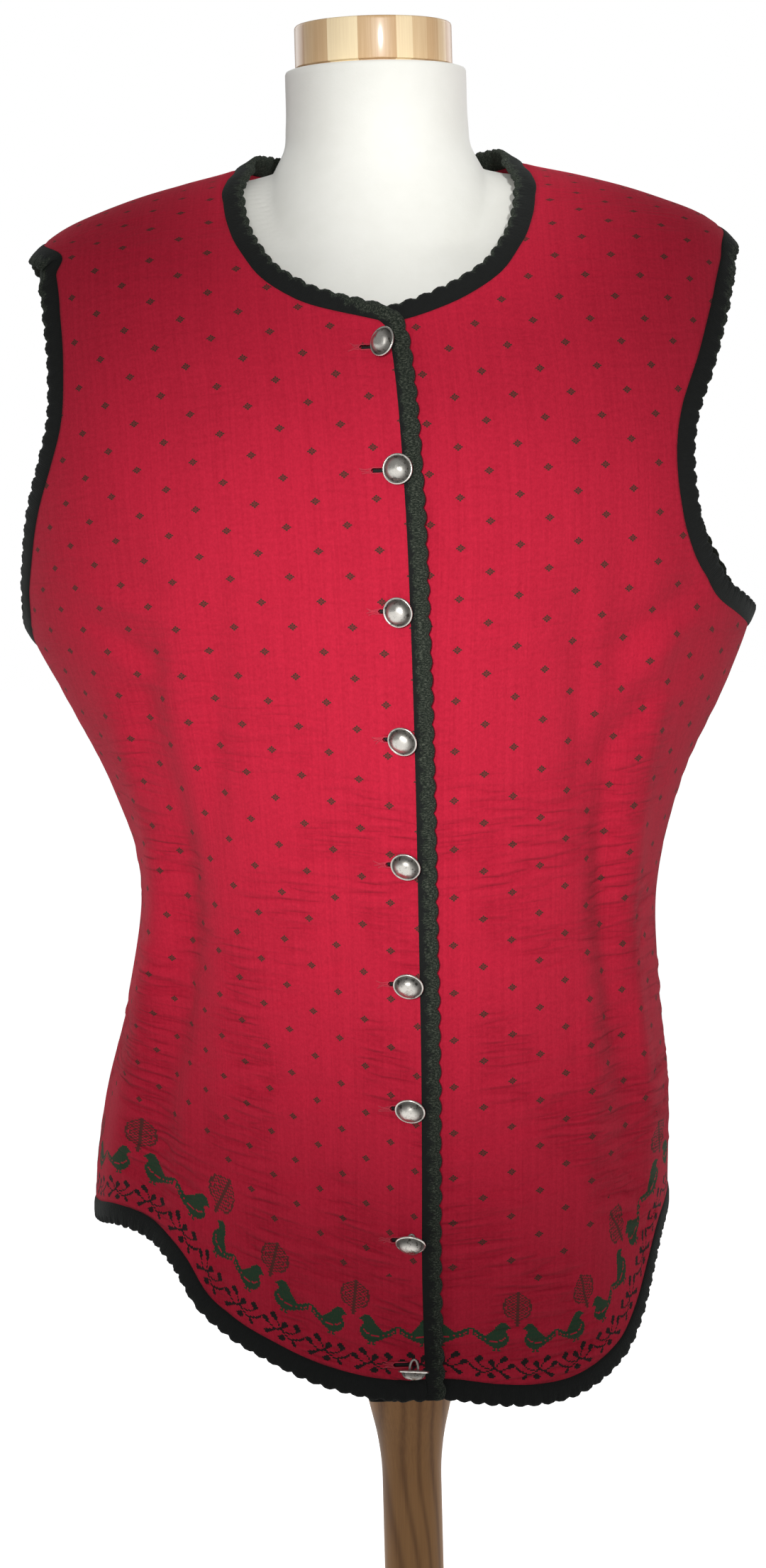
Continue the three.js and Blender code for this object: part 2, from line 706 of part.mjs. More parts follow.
const rightFront = frontGrid(true);
const leftFront = frontGrid(false);
const back = backGrid();
const sideOf = (grid) => grid[0].length - 1;

add('front_right', buttonholed(wall(rightFront)), crimsonKnit);
add('front_left', wall(leftFront), crimsonKnit);
add('back', wall(back), crimsonKnit);

[['right', rightFront], ['left', leftFront]].forEach(([side, grid]) => {
  add(`front_band_${side}`, frontBand(grid), blackEdging);
  add(`neck_trim_${side}`, frontNeck(grid), blackEdging);
  add(`hem_trim_${side}`, frontHem(grid), blackEdging);
  add(`armhole_trim_${side}_front`, armholeEdging(grid, sideOf(grid), sideOf(grid) - 1), blackEdging);
});
add('neck_trim_back', backRow(back, back.length - 1, -1), blackEdging);
add('hem_trim_back', backRow(back, 0, 1), blackEdging);
add('armhole_trim_left_back', armholeEdging(back, 0, 1), blackEdging);
add('armhole_trim_right_back', armholeEdging(back, sideOf(back), sideOf(back) - 1), blackEdging);

BUTTONS.forEach((row, i) => add(`button_${i + 1}`, button(row), pewter));

const capBottom = TORSO.top + SEAM_GAP;
const poleTop = TORSO.bottom - SEAM_GAP;
const poleFoot = BASE.height + SEAM_GAP;
add('form_torso', torso(), formCloth);
const capProfile = discProfile(CAP.radius, capBottom, capBottom + CAP.height, 2, CAP.edge);
add('form_cap', turned(capProfile, 32, -1, NECK_WIDEST), capWood);
add('stand_pole', turned([
  [0, poleFoot], [34, poleFoot], [34, poleFoot + 14], [25, poleFoot + 26], [POLE_R, poleFoot + 44],
  [POLE_R, 440], [21.5, 458], [26, 477], [31, 500], [34, 530], [34, poleTop], [0, poleTop],
], 24), poleWood);
add('stand_base', turned(discProfile(BASE.radius, 0, BASE.height, 2, BASE.edge), 48), poleWood);

export default object;
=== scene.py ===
"""The looks of a sleeveless crimson knit cardigan, buttoned on a limbless dress form.

Shapes are worked out in millimetres, in the model's own frame: +Z up, the front towards -Y and the
wearer's right towards -X. Angles are degrees round the body from the centre front, positive
towards the wearer's left. A shape becomes metres when its object is made.
"""

import logging
import math
from dataclasses import dataclass, field
from enum import Enum
from typing import Callable, NamedTuple, Sequence

import bmesh
import bpy
import numpy as np
from mathutils import Matrix, Vector
from mathutils.bvhtree import BVHTree


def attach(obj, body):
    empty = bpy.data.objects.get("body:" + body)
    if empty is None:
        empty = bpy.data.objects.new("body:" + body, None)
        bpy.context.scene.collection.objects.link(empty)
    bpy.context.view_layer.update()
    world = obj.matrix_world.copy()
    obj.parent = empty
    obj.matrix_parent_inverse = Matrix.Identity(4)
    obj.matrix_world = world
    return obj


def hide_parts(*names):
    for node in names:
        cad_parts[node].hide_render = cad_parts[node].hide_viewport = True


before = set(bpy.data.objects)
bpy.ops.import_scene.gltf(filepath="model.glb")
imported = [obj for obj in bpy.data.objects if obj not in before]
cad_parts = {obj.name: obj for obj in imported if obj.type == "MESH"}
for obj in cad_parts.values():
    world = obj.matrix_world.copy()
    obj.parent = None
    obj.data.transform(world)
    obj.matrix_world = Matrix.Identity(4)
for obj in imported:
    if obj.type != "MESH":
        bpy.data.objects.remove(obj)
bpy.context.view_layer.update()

log = logging.getLogger("cardigan")

MM = 0.001
BODY_NAME = "root"
CHUNK = 3000  # points whose distances are worked out at a time
Array = np.ndarray
Mesh = bmesh.types.BMesh
Material = bpy.types.Material
Socket = bpy.types.NodeSocket
Chart = Callable[[Array, Array], Array]
Profile = Callable[[Array], Array]
Point = tuple[float, float, float]


class Slot(Enum):
    """The record's material slots."""

    KNIT = "crimson_knit"
    EDGING = "black_edging"
    PEWTER = "pewter"
    FORM = "form_cloth"
    CAP = "cap_wood"
    STAND = "stand_wood"


class Side(Enum):
    """The three panels of the cardigan, by the wearer's own sides."""

    RIGHT = "right"
    LEFT = "left"
    BACK = "back"


# ---- Numbers and tables ----


def smooth(x: Array | float) -> Array:
    """A soft step from 0 to 1."""
    t = np.clip(x, 0.0, 1.0)
    return t * t * (3 - 2 * t)


def mix(a: Array | float, b: Array | float, t: Array | float) -> Array:
    """The value a share t of the way from a to b."""
    return a + (b - a) * t


def unit(vectors: Array) -> Array:
    """The vectors, each with a length of 1."""
    return vectors / np.maximum(np.linalg.norm(vectors, axis=-1, keepdims=True), 1e-12)


def travelled(points: Array) -> Array:
    """The distance along a line of points to each of them."""
    steps = np.linalg.norm(np.diff(points, axis=0), axis=1)
    return np.concatenate(([0.0], np.cumsum(steps)))


class Table:
    """Rows of named numbers, read on a smooth curve through them."""

    def __init__(self, columns: str, rows: Sequence[Sequence[float]]) -> None:
        """Keeps the rows.

        Args:
            columns: The columns' names. The first is the one that the table is read by.
            rows: The numbers, with the first column rising.
        """
        data = np.array(rows, float)
        self.key = data[:, 0]
        self.columns = {name: data[:, i] for i, name in enumerate(columns.split())}

    def read(self, name: str, at: Array | float) -> Array:
        """A column's value.

        Args:
            name: The column.
            at: Where in the first column, held between its ends.

        Returns:
            The values, in the shape of at.
        """
        x, y = self.key, self.columns[name]
        at = np.clip(np.asarray(at, float), x[0], x[-1])
        i = np.clip(np.searchsorted(x, at, side="right") - 1, 0, len(x) - 2)
        step = np.diff(x)
        rise = np.diff(y) / step
        slope = np.concatenate((
            rise[:1],
            (step[1:] * rise[:-1] + step[:-1] * rise[1:]) / (step[:-1] + step[1:]),
            rise[-1:],
        ))
        t = (at - x[i]) / step[i]
        s = 1 - t
        start = y[i] * (1 + 2 * t) + slope[i] * step[i] * t
        end = y[i + 1] * (3 - 2 * t) - slope[i + 1] * step[i] * s
        return start * s * s + end * t * t


def outline(angle: Array, half: Array, depth: Array, power: Array | float) -> Array:
    """Distance from a slice's middle to its rounded outline.

    Args:
        angle: Degrees from the centre front.
        half: Half the slice's width.
        depth: Its reach to the front or back.
        power: 2 for an ellipse, more for a squarer slice.

    Returns:
        The distances.
    """
    a = np.radians(angle)
    across = np.abs(np.sin(a)) / half
    along = np.abs(np.cos(a)) / depth
    return (across**power + along**power) ** (-1 / power)


# ---- The worn shape ----

WALL = 2.0
UNDERARM_Z, SHOULDER_TIP_Z, NECK_POINT_Z = 970.0, 1225.0, 1267.5

BODY = Table("z right left front back widest", [
    (505, 186, 164, 133, 112, 20),
    (560, 196, 168, 132, 113, 20),
    (620, 199, 170, 130, 113, 20),
    (680, 191, 172, 127, 110, 24),
    (740, 175, 168, 124, 104, 28),
    (810, 163, 168, 123, 97, 30),
    (880, 181, 187, 127, 98, 30),
    (940, 210, 216, 133, 103, 28),
    (985, 231, 232, 137, 106, 24),
    (1030, 234, 234, 139, 108, 18),
    (1080, 231, 231, 135, 108, 12),
    (1120, 228, 229, 127, 107, 10),
    (1150, 226, 228, 117, 105, 9),
    (1180, 224, 226, 104, 101, 8),
    (1200, 222, 224, 92, 98, 8),
    (1218, 216, 219, 76, 94, 8),
    (1226, 208, 211, 67, 92, 8),
    (1234, 195, 198, 58, 89, 8),
    (1242, 176, 178, 49, 86, 8),
    (1250, 153, 155, 40, 83, 8),
    (1258, 124, 126, 29, 79, 8),
    (1266, 92, 93, 16, 74, 8),
    (1274, 80, 82, 6, 70, 8),
])
HEM = Table("angle right left", [
    (0, 525, 525),
    (10, 527.5, 523.5),
    (20, 534, 518.5),
    (30, 546, 515.5),
    (40, 561.5, 517.5),
    (46, 576, 522.5),
    (50, 594, 527.5),
    (55, 608, 536.5),
    (60, 616, 554),
    (65, 620, 577),
    (70, 621, 595.5),
    (78, 618, 609),
    (90, 615, 615),
])
HEM_BACK = Table("angle z", [
    (90, 615), (102, 606), (112, 588), (122, 556), (132, 532), (145, 518), (160, 512), (180, 510),
])
NECK = Table("angle z", [
    (0, 1162),
    (13.4, 1169.5),
    (25.5, 1180),
    (35.2, 1193),
    (43.6, 1209.5),
    (53.9, 1228.5),
    (63.6, 1245),
    (72, 1256.5),
    (82.7, 1265),
    (90, NECK_POINT_Z),
    (105, 1268.5),
    (125, 1267),
    (150, 1263),
    (180, 1261),
])
ARMHOLE = Table("z right left back", [
    (UNDERARM_Z, 90, 90, 90),
    (974, 85.5, 83, 94),
    (985, 80.4, 71.5, 98),
    (1008, 76.6, 62.7, 102.5),
    (1030, 73.5, 58.9, 106),
    (1055, 70.7, 57.5, 108.5),
    (1080, 68, 57.9, 109.5),
    (1108, 66.3, 60.4, 109.5),
    (1140, 67.6, 66, 108),
    (1175, 71, 72.4, 105.5),
    (1200, 74.6, 77.6, 102),
    (1218, 79.6, 83.5, 96.5),
    (SHOULDER_TIP_Z, 90, 90, 90),
])
FRONT_EDGE = Table("z x", [
    (505, 9.5),
    (590, 9),
    (650, 10.4),
    (720, 11.7),
    (800, 12.2),
    (890, 12.6),
    (975, 12.2),
    (1060, 10.6),
    (1132, 6.6),
    (1165, 3),
    (1200, 1),
])


class Fold(NamedTuple):
    """A long soft fold: its line's angles at foot and head, its width, depth and heights."""

    foot: float
    head: float
    width: float
    depth: float
    low: float
    high: float


FOLDS = (
    Fold(-61, -50, 17, -8, 560, 1030),
    Fold(-74, -60, 20, 4, 540, 1000),
    Fold(59, 44, 15, -7, 600, 1090),
    Fold(68, 51, 16, 4, 600, 1060),
    Fold(-44, -54, 24, -4, 1040, 1200),
    Fold(118, 128, 20, -6, 540, 1010),
    Fold(152, 158, 24, -4, 520, 930),
    Fold(204, 200, 24, -5, 520, 960),
    Fold(243, 231, 19, -6, 560, 1030),
)


COURSES = Table("z flat", [
    (400, -525), (525, -390), (688, -210), (861, -30), (1043, 150), (1162, 270), (1274, 390),
])
WALES = {
    "right": Table("z start gather rise fall", [
        (525, 34, 1.34, 0.30, 0),
        (688, 34, 1.20, 0.25, 0),
        (760, 34, 1.12, 0.13, 0),
        (860, 34, 1.04, 0.08, 0),
        (960, 35, 1.00, 0.04, 0.03),
        (1100, 36, 0.985, 0.0, 0.14),
        (1270, 34, 1.0, 0.02, 0.20),
    ]),
    "left": Table("z start gather rise fall", [
        (525, 59.5, 0.985, 0.05, 0),
        (803, 63.5, 0.975, 0.04, 0),
        (924, 66.5, 0.99, 0.04, 0),
        (1042, 73.5, 1.0, 0.04, 0.03),
        (1270, 75.5, 1.03, 0.05, 0.08),
    ]),
    "back": Table("z start gather rise fall", [(525, 0, 1, 0, 0), (1270, 0, 1, 0, 0)]),
}


class Worn:
    """The smooth surface that the cardigan's outer face lies on.

    Attributes:
        round_low: The slices' outline power at the hips.
        round_high: The same at the chest.
        round_from: Height where it starts to change.
        round_over: Height over which it changes.
    """

    round_low, round_high, round_from, round_over = 2.1, 2.5, 960.0, 120.0

    def radius(self, angle: Array, z: Array) -> Array:
        """Distance from a slice's middle to the surface, without its folds.

        Args:
            angle: Degrees from the centre front.
            z: Heights.

        Returns:
            The distances.
        """
        a = np.radians(angle)
        half = np.where(np.sin(a) > 0, BODY.read("left", z), BODY.read("right", z))
        widest = BODY.read("widest", z)
        depth = np.where(
            np.cos(a) > 0, BODY.read("front", z) + widest, BODY.read("back", z) - widest
        )
        share = smooth((z - self.round_from) / self.round_over)
        power = mix(self.round_low, self.round_high, share)
        return outline(angle, half, depth, power)

    def fold(self, angle: Array, z: Array, radius: Array) -> Array:
        """How far the long folds push the cloth out.

        Args:
            angle: Degrees from the centre front.
            z: Heights.
            radius: The surface's distances there, without folds.

        Returns:
            The distances outwards.
        """
        out = np.zeros_like(radius)
        for f in FOLDS:
            t = np.clip((z - f.low) / (f.high - f.low), 0, 1)
            turn = np.mod(angle - mix(f.foot, f.head, t) + 180, 360) - 180
            away = np.radians(turn) * radius / f.width
            out += f.depth * np.exp(-away * away) * smooth(3 * t) * smooth(3 * (1 - t))
        return out

    def point(self, angle: Array, z: Array) -> Array:
        """The surface's points at angles and heights."""
        plain = self.radius(angle, z)
        radius = plain + self.fold(angle, z, plain)
        a = np.radians(angle)
        x, y = radius * np.sin(a), BODY.read("widest", z) - radius * np.cos(a)
        return np.stack((x, y, np.broadcast_to(z, x.shape)), axis=-1)

    def normal(self, angle: Array, z: Array) -> Array:
        """The outward normals there."""
        across = self.point(angle + 0.3, z) - self.point(angle - 0.3, z)
        up = self.point(angle, z + 0.5) - self.point(angle, z - 0.5)
        return unit(np.cross(across, up))


# ---- Meshes ----


@dataclass
class Shell:
    """A grid of faces bent to a shape.

    Attributes:
        columns: Faces along the grid's x.
        rows: Faces along its y.
        closed: Whether the first and last rows of points meet, as round a tube. Its ends are then
            filled and its faces turned outwards.
    """

    columns: int
    rows: int
    closed: bool = False

    def bend(
        self,
        place: Chart,
        maps: dict[str, Chart] | None = None,
    ) -> Mesh:
        """Makes the grid and moves its points.

        Args:
            place: Gives the points for arrays of x and y from 0 to 1.
            maps: UV maps by name, as functions like place that give metres.

        Returns:
            The bmesh, in millimetres.
        """
        bm = bmesh.new()
        bmesh.ops.create_grid(bm, x_segments=self.columns, y_segments=self.rows, size=0.5)
        flat = np.array([v.co.xy for v in bm.verts]) + 0.5
        x, y = flat[:, 0], flat[:, 1]
        for vert, co in zip(bm.verts, place(x, y)):
            vert.co = co
        for name, chart in (maps or {}).items():
            layer = bm.loops.layers.uv.new(name)
            coords = chart(x, y)
            for face in bm.faces:
                for loop in face.loops:
                    loop[layer].uv = coords[loop.vert.index]
        if self.closed:
            bmesh.ops.remove_doubles(bm, verts=bm.verts, dist=1e-3)
            bmesh.ops.holes_fill(bm, edges=bm.edges, sides=self.rows)
            bmesh.ops.recalc_face_normals(bm, faces=bm.faces)
        return bm


def finished(
    bm: Mesh, name: str, materials: Sequence[Material], replaces: Sequence[str] = ()
) -> bpy.types.Object:
    """Makes an object of a bmesh and sets it on the model's body.

    Args:
        bm: The shape in millimetres. It is freed.
        name: The piece's name.
        materials: Its materials, in the order of the faces' indices.
        replaces: The CAD nodes that it stands for.

    Returns:
        The object, at the origin, in metres.
    """
    for face in bm.faces:
        face.smooth = True
    bmesh.ops.scale(bm, vec=(MM,) * 3, verts=bm.verts)
    mesh = bpy.data.meshes.new(name)
    bm.to_mesh(mesh)
    bm.free()
    for material in materials:
        mesh.materials.append(material)
    piece = bpy.data.objects.new(name, mesh)
    bpy.context.scene.collection.objects.link(piece)
    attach(piece, BODY_NAME)
    if replaces:
        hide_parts(*replaces)
    log.info("%s: %d faces", name, len(mesh.polygons))
    return piece


def add_shape(bm: Mesh, part: Mesh) -> None:
    """Adds a shape to another and frees it."""
    mesh = bpy.data.meshes.new("part")
    part.to_mesh(mesh)
    part.free()
    bm.from_mesh(mesh)
    bpy.data.meshes.remove(mesh)


def strand(line: Array, radius: float) -> Mesh:
    """A round thread along a line of points, thinner at its two ends.

    Args:
        line: The points.
        radius: The thread's radius.

    Returns:
        The closed shape.
    """
    way = unit(np.gradient(line, axis=0))
    aslant = np.array((0.31, -0.9, 0.3))
    side = unit(np.cross(way, aslant))
    over = np.cross(way, side)
    count = len(line) - 1

    def place(x: Array, y: Array) -> Array:
        """The thread's points at shares along it and round it."""
        i = np.rint(x * count).astype(int)
        turn = (2 * np.pi * y)[:, None]
        thick = np.where((i == 0) | (i == count), 0.5, 1.0)[:, None] * radius
        return line[i] + thick * (side[i] * np.cos(turn) + over[i] * np.sin(turn))

    return Shell(count, 6, closed=True).bend(place)


def turned(profile: Sequence[tuple[float, float]], steps: int) -> Mesh:
    """Spins a half-profile round +Z.

    Args:
        profile: Radius and height of each point, from the axis to the axis, foot first.
        steps: How many steps make the full turn.

    Returns:
        The closed shape.
    """
    bm = bmesh.new()
    verts = [bm.verts.new((r, 0, z)) for r, z in profile]
    edges = [bm.edges.new(pair) for pair in zip(verts, verts[1:])]
    bmesh.ops.spin(
        bm, geom=verts + edges, cent=(0, 0, 0), axis=(0, 0, 1), dvec=(0, 0, 0),
        angle=2 * math.pi, steps=steps, use_merge=True, use_duplicate=False,
    )
    bmesh.ops.remove_doubles(bm, verts=bm.verts, dist=1e-4)
    bmesh.ops.recalc_face_normals(bm, faces=bm.faces)
    return bm


def rounded(corners: Sequence[Point], steps: int = 4) -> list[tuple[float, float]]:
    """A half-profile with its corners rounded.

    Args:
        corners: Radius and height of each corner, and how far its rounding reaches along each leg.
        steps: Points on each rounding.

    Returns:
        The profile's points.
    """
    points: list[tuple[float, float]] = []
    for i, (r, z, cut) in enumerate(corners):
        if cut == 0:
            points.append((r, z))
            continue
        here = np.array((r, z))
        before, after = np.array(corners[i - 1][:2]), np.array(corners[i + 1][:2])
        start, end = here + cut * unit(before - here), here + cut * unit(after - here)
        for t in np.linspace(0, 1, steps + 1):
            p = start * (1 - t) ** 2 + 2 * here * t * (1 - t) + end * t * t
            points.append((float(p[0]), float(p[1])))
    return points


# ---- Materials ----


def operator(
    operation: str, swapped: bool = False
) -> Callable[["Value", "Value | float"], "Value"]:
    """An operator of Value that adds a Math node.

    Args:
        operation: The node's operation.
        swapped: Whether the other number comes first, as in the reflected form.

    Returns:
        The method.
    """
    def method(self: "Value", other: "Value | float") -> "Value":
        """The operation's result."""
        return self.shade.math(operation, *((other, self) if swapped else (self, other)))

    return method


class Value:
    """A number in a material. Its operators add Math nodes to the material's tree."""

    def __init__(self, shade: "Shade", socket: Socket) -> None:
        """Wraps an output socket of the shade's tree."""
        self.shade, self.socket = shade, socket

    __add__ = __radd__ = operator("ADD")
    __sub__, __rsub__ = operator("SUBTRACT"), operator("SUBTRACT", swapped=True)
    __mul__ = __rmul__ = operator("MULTIPLY")
    __truediv__, __rtruediv__ = operator("DIVIDE"), operator("DIVIDE", swapped=True)
    __pow__, __rpow__ = operator("POWER"), operator("POWER", swapped=True)
    __mod__ = operator("FLOORED_MODULO")
    __lt__, __gt__ = operator("LESS_THAN"), operator("GREATER_THAN")
    least, most = operator("MINIMUM"), operator("MAXIMUM")

    def __abs__(self) -> "Value":
        """The size without its sign."""
        return self.shade.math("ABSOLUTE", self)

    def floor(self) -> "Value":
        """The whole number below."""
        return self.shade.math("FLOOR", self)

    def sine(self) -> "Value":
        """The sine."""
        return self.shade.math("SINE", self)

    def step(self, low: float, high: float) -> "Value":
        """A soft step from 0 at low to 1 at high."""
        node = self.shade.node(
            "MapRange", {"interpolation_type": "SMOOTHSTEP"},
            {"Value": self, "From Min": low, "From Max": high},
        )
        return Value(self.shade, node.outputs["Result"])


Colour = Point
Input = Value | Socket | float | Sequence[float] | str


class Shade:
    """A material while its nodes are laid out."""

    def __init__(self, name: str) -> None:
        """Starts an empty material of that name."""
        self.material = bpy.data.materials.new(name)
        self.material.use_nodes = True
        self.tree = self.material.node_tree
        self.tree.nodes.clear()

    def node(
        self, kind: str, settings: dict[str, object] | None = None,
        sockets: dict[str | int, Input] | None = None,
    ) -> bpy.types.Node:
        """Adds a node.

        Args:
            kind: The node's type, without the ShaderNode that each starts with.
            settings: Its own settings; "stops" are a colour ramp's places and colours, and "ramp"
                is how it goes from one to the next.
            sockets: Values or links for its inputs, by name or place.

        Returns:
            The node.
        """
        node = self.tree.nodes.new(f"ShaderNode{kind}")
        for name, setting in (settings or {}).items():
            if name == "stops":
                ramp = node.color_ramp
                for _ in range(len(setting) - len(ramp.elements)):
                    ramp.elements.new(1.0)
                for element, (place, colour) in zip(ramp.elements, setting):
                    element.position = place
                    element.color = (*colour, 1.0)
            elif name == "ramp":
                node.color_ramp.interpolation = setting
            else:
                setattr(node, name, setting)
        for name, value in (sockets or {}).items():
            if isinstance(value, Value):
                value = value.socket
            if isinstance(value, Socket):
                self.tree.links.new(value, node.inputs[name])
            else:
                node.inputs[name].default_value = value
        return node

    def math(self, operation: str, *values: Value | float) -> Value:
        """A Math node's result."""
        node = self.node("Math", {"operation": operation}, dict(enumerate(values)))
        return Value(self, node.outputs[0])

    def blend(self, share: Value | float, a: Input, b: Input) -> Socket:
        """A colour between two others, by a share from 0 to 1."""
        colours = {0: share, 6: self.rgba(a), 7: self.rgba(b)}
        return self.node("Mix", {"data_type": "RGBA"}, colours).outputs[2]

    @staticmethod
    def rgba(colour: Input) -> Input:
        """A plain colour with its alpha; a link as it is."""
        return (*colour, 1.0) if isinstance(colour, tuple) and len(colour) == 3 else colour

    def parts(self, socket: Socket, kind: str = "XYZ") -> list[Value]:
        """The three numbers of a vector, or of a colour where the kind is Color."""
        split = self.node(f"Separate{kind}", {}, {0: socket})
        return [Value(self, out) for out in split.outputs]

    def uv(self, name: str) -> tuple[Value, Value]:
        """The two coordinates of a UV map, in millimetres."""
        u, v, _ = self.parts(self.node("UVMap", {"uv_map": name}).outputs[0])
        return u / MM, v / MM

    def spot(self) -> Socket:
        """The piece's own coordinates, as a vector in metres."""
        return self.node("TexCoord").outputs["Object"]

    def place(self) -> list[Value]:
        """The piece's own x, y and z, in millimetres."""
        return [part / MM for part in self.parts(self.spot())]

    def mark(self, name: str) -> Value:
        """The number that the piece's attribute of that name holds."""
        node = self.node("Attribute", {"attribute_name": name})
        return Value(self, node.outputs["Fac"])

    def vector(
        self, x: Value | float, y: Value | float, z: Value | float = 0.0
    ) -> Socket:
        """A vector of three numbers."""
        return self.node("CombineXYZ", {}, {0: x, 1: y, 2: z}).outputs[0]

    def noise(
        self, vector: Socket, scale: float, detail: float = 2.0, rough: float = 0.5
    ) -> Value:
        """Soft noise round 0.5 over a vector."""
        sockets = {"Vector": vector, "Scale": scale, "Detail": detail, "Roughness": rough}
        return Value(self, self.node("TexNoise", {}, sockets).outputs[0])

    def chance(self, number: Value, seed: float = 0.0) -> Value:
        """A random number from 0 to 1 for each whole number."""
        sockets = {"Vector": self.vector(number, seed)}
        node = self.node("TexWhiteNoise", {"noise_dimensions": "2D"}, sockets)
        return Value(self, node.outputs[0])

    def bump(self, height: Value, distance: float, strength: float = 1.0) -> Socket:
        """A normal from a height from 0 to 1, with its relief in millimetres."""
        sockets = {"Height": height, "Distance": distance * MM, "Strength": strength}
        return self.node("Bump", {}, sockets).outputs[0]

    def finish(self, colour: Input, **sockets: Input) -> Material:
        """Closes the material with a surface shader.

        Args:
            colour: The base colour.
            sockets: The shader's other inputs, by name with _ for each space.

        Returns:
            The material.
        """
        named = {name.replace("_", " "): value for name, value in sockets.items()}
        named["Base Color"] = self.rgba(colour)
        shader = self.node("BsdfPrincipled", {}, named)
        self.node("OutputMaterial", {}, {"Surface": shader.outputs[0]})
        return self.material


class PunchCard:
    """A small knitting chart, read stitch by stitch inside a material.

    A colour ramp holds one stop for each row. Each of its three channels is a whole number whose
    bits say which of twelve stitches take the second yarn.
    """

    bits = 12

    def __init__(self, chart: str) -> None:
        """Takes the chart's rows from the top down, # for the second yarn."""
        self.rows = chart.split()[::-1]
        self.width = len(self.rows[0])

    def stops(self) -> list[tuple[float, Colour]]:
        """The ramp's stops, from the lowest row up."""
        made = []
        for i, row in enumerate(self.rows):
            numbers = [
                sum(2**j for j, stitch in enumerate(row[k:k + self.bits]) if stitch == "#")
                for k in range(0, 3 * self.bits, self.bits)
            ]
            made.append((i / len(self.rows), tuple(n / 2**self.bits for n in numbers)))
        return made

    def mask(self, shade: Shade, stitch: Value, row: Value) -> Value:
        """1 where the chart has the second yarn.

        Args:
            shade: The material.
            stitch: The whole number of the stitch along the chart.
            row: The whole number of the row, counted from the chart's lowest.

        Returns:
            The mask, 0 beyond the chart's rows.
        """
        ramp = shade.node(
            "ValToRGB", {"ramp": "CONSTANT", "stops": self.stops()},
            {0: (row + 0.5) / len(self.rows)},
        )
        group = (stitch / self.bits).floor()
        number = sum(
            (part * (abs(group - k) < 0.5)
             for k, part in enumerate(shade.parts(ramp.outputs[0], "Color"))),
            start=0.0,
        )
        power = 2.0 ** (stitch - group * self.bits)
        bit = (number * 2**self.bits / power + 1e-4).floor() % 2.0
        return bit * (row > -0.5) * (row < len(self.rows) - 0.5)


BIRD = PunchCard("""
............................
.......####.................
......######................
.....########...............
....##########..............
......########..............
.......########.............
.......#########..........##
......###########.......###.
......############.....####.
.....##############..####.#.
.....##.################.##.
.....###.#############.##...
.....####..########.####....
......######.....#####......
......##############........
.......############.........
........#########...........
..........#####.............
...........#.#..............
..........##.##.............
............................
""")
TREE = PunchCard("""
#...........
##..........
#.##........
##..##......
#.##.##.....
##..#..##...
#.##.##.#...
##..##.##...
#.##..#.##..
##.##..###..
#.#..##.##..
##.##.#..#..
#.##.##.##..
##..#..##...
#.##.##.#...
##..##.##...
#.##..##....
##..###.....
#.##........
##..........
#...........
##..........
#...........
#...........
""")
VINE = PunchCard("""
....................##......
.....##............####.....
....####..........#####.....
...#####....##....####......
...####....####...##........
....##.....####..#......###.
.....#......###.#......#####
#.....#......##.#......####.
##.....##.....##......###...
.##......###.####...##......
..###.......##..####........
....###...##......##........
......####..##.....###......
.....##....####.....####....
....###....#####.....####...
....##......###.......##....
............................
""")


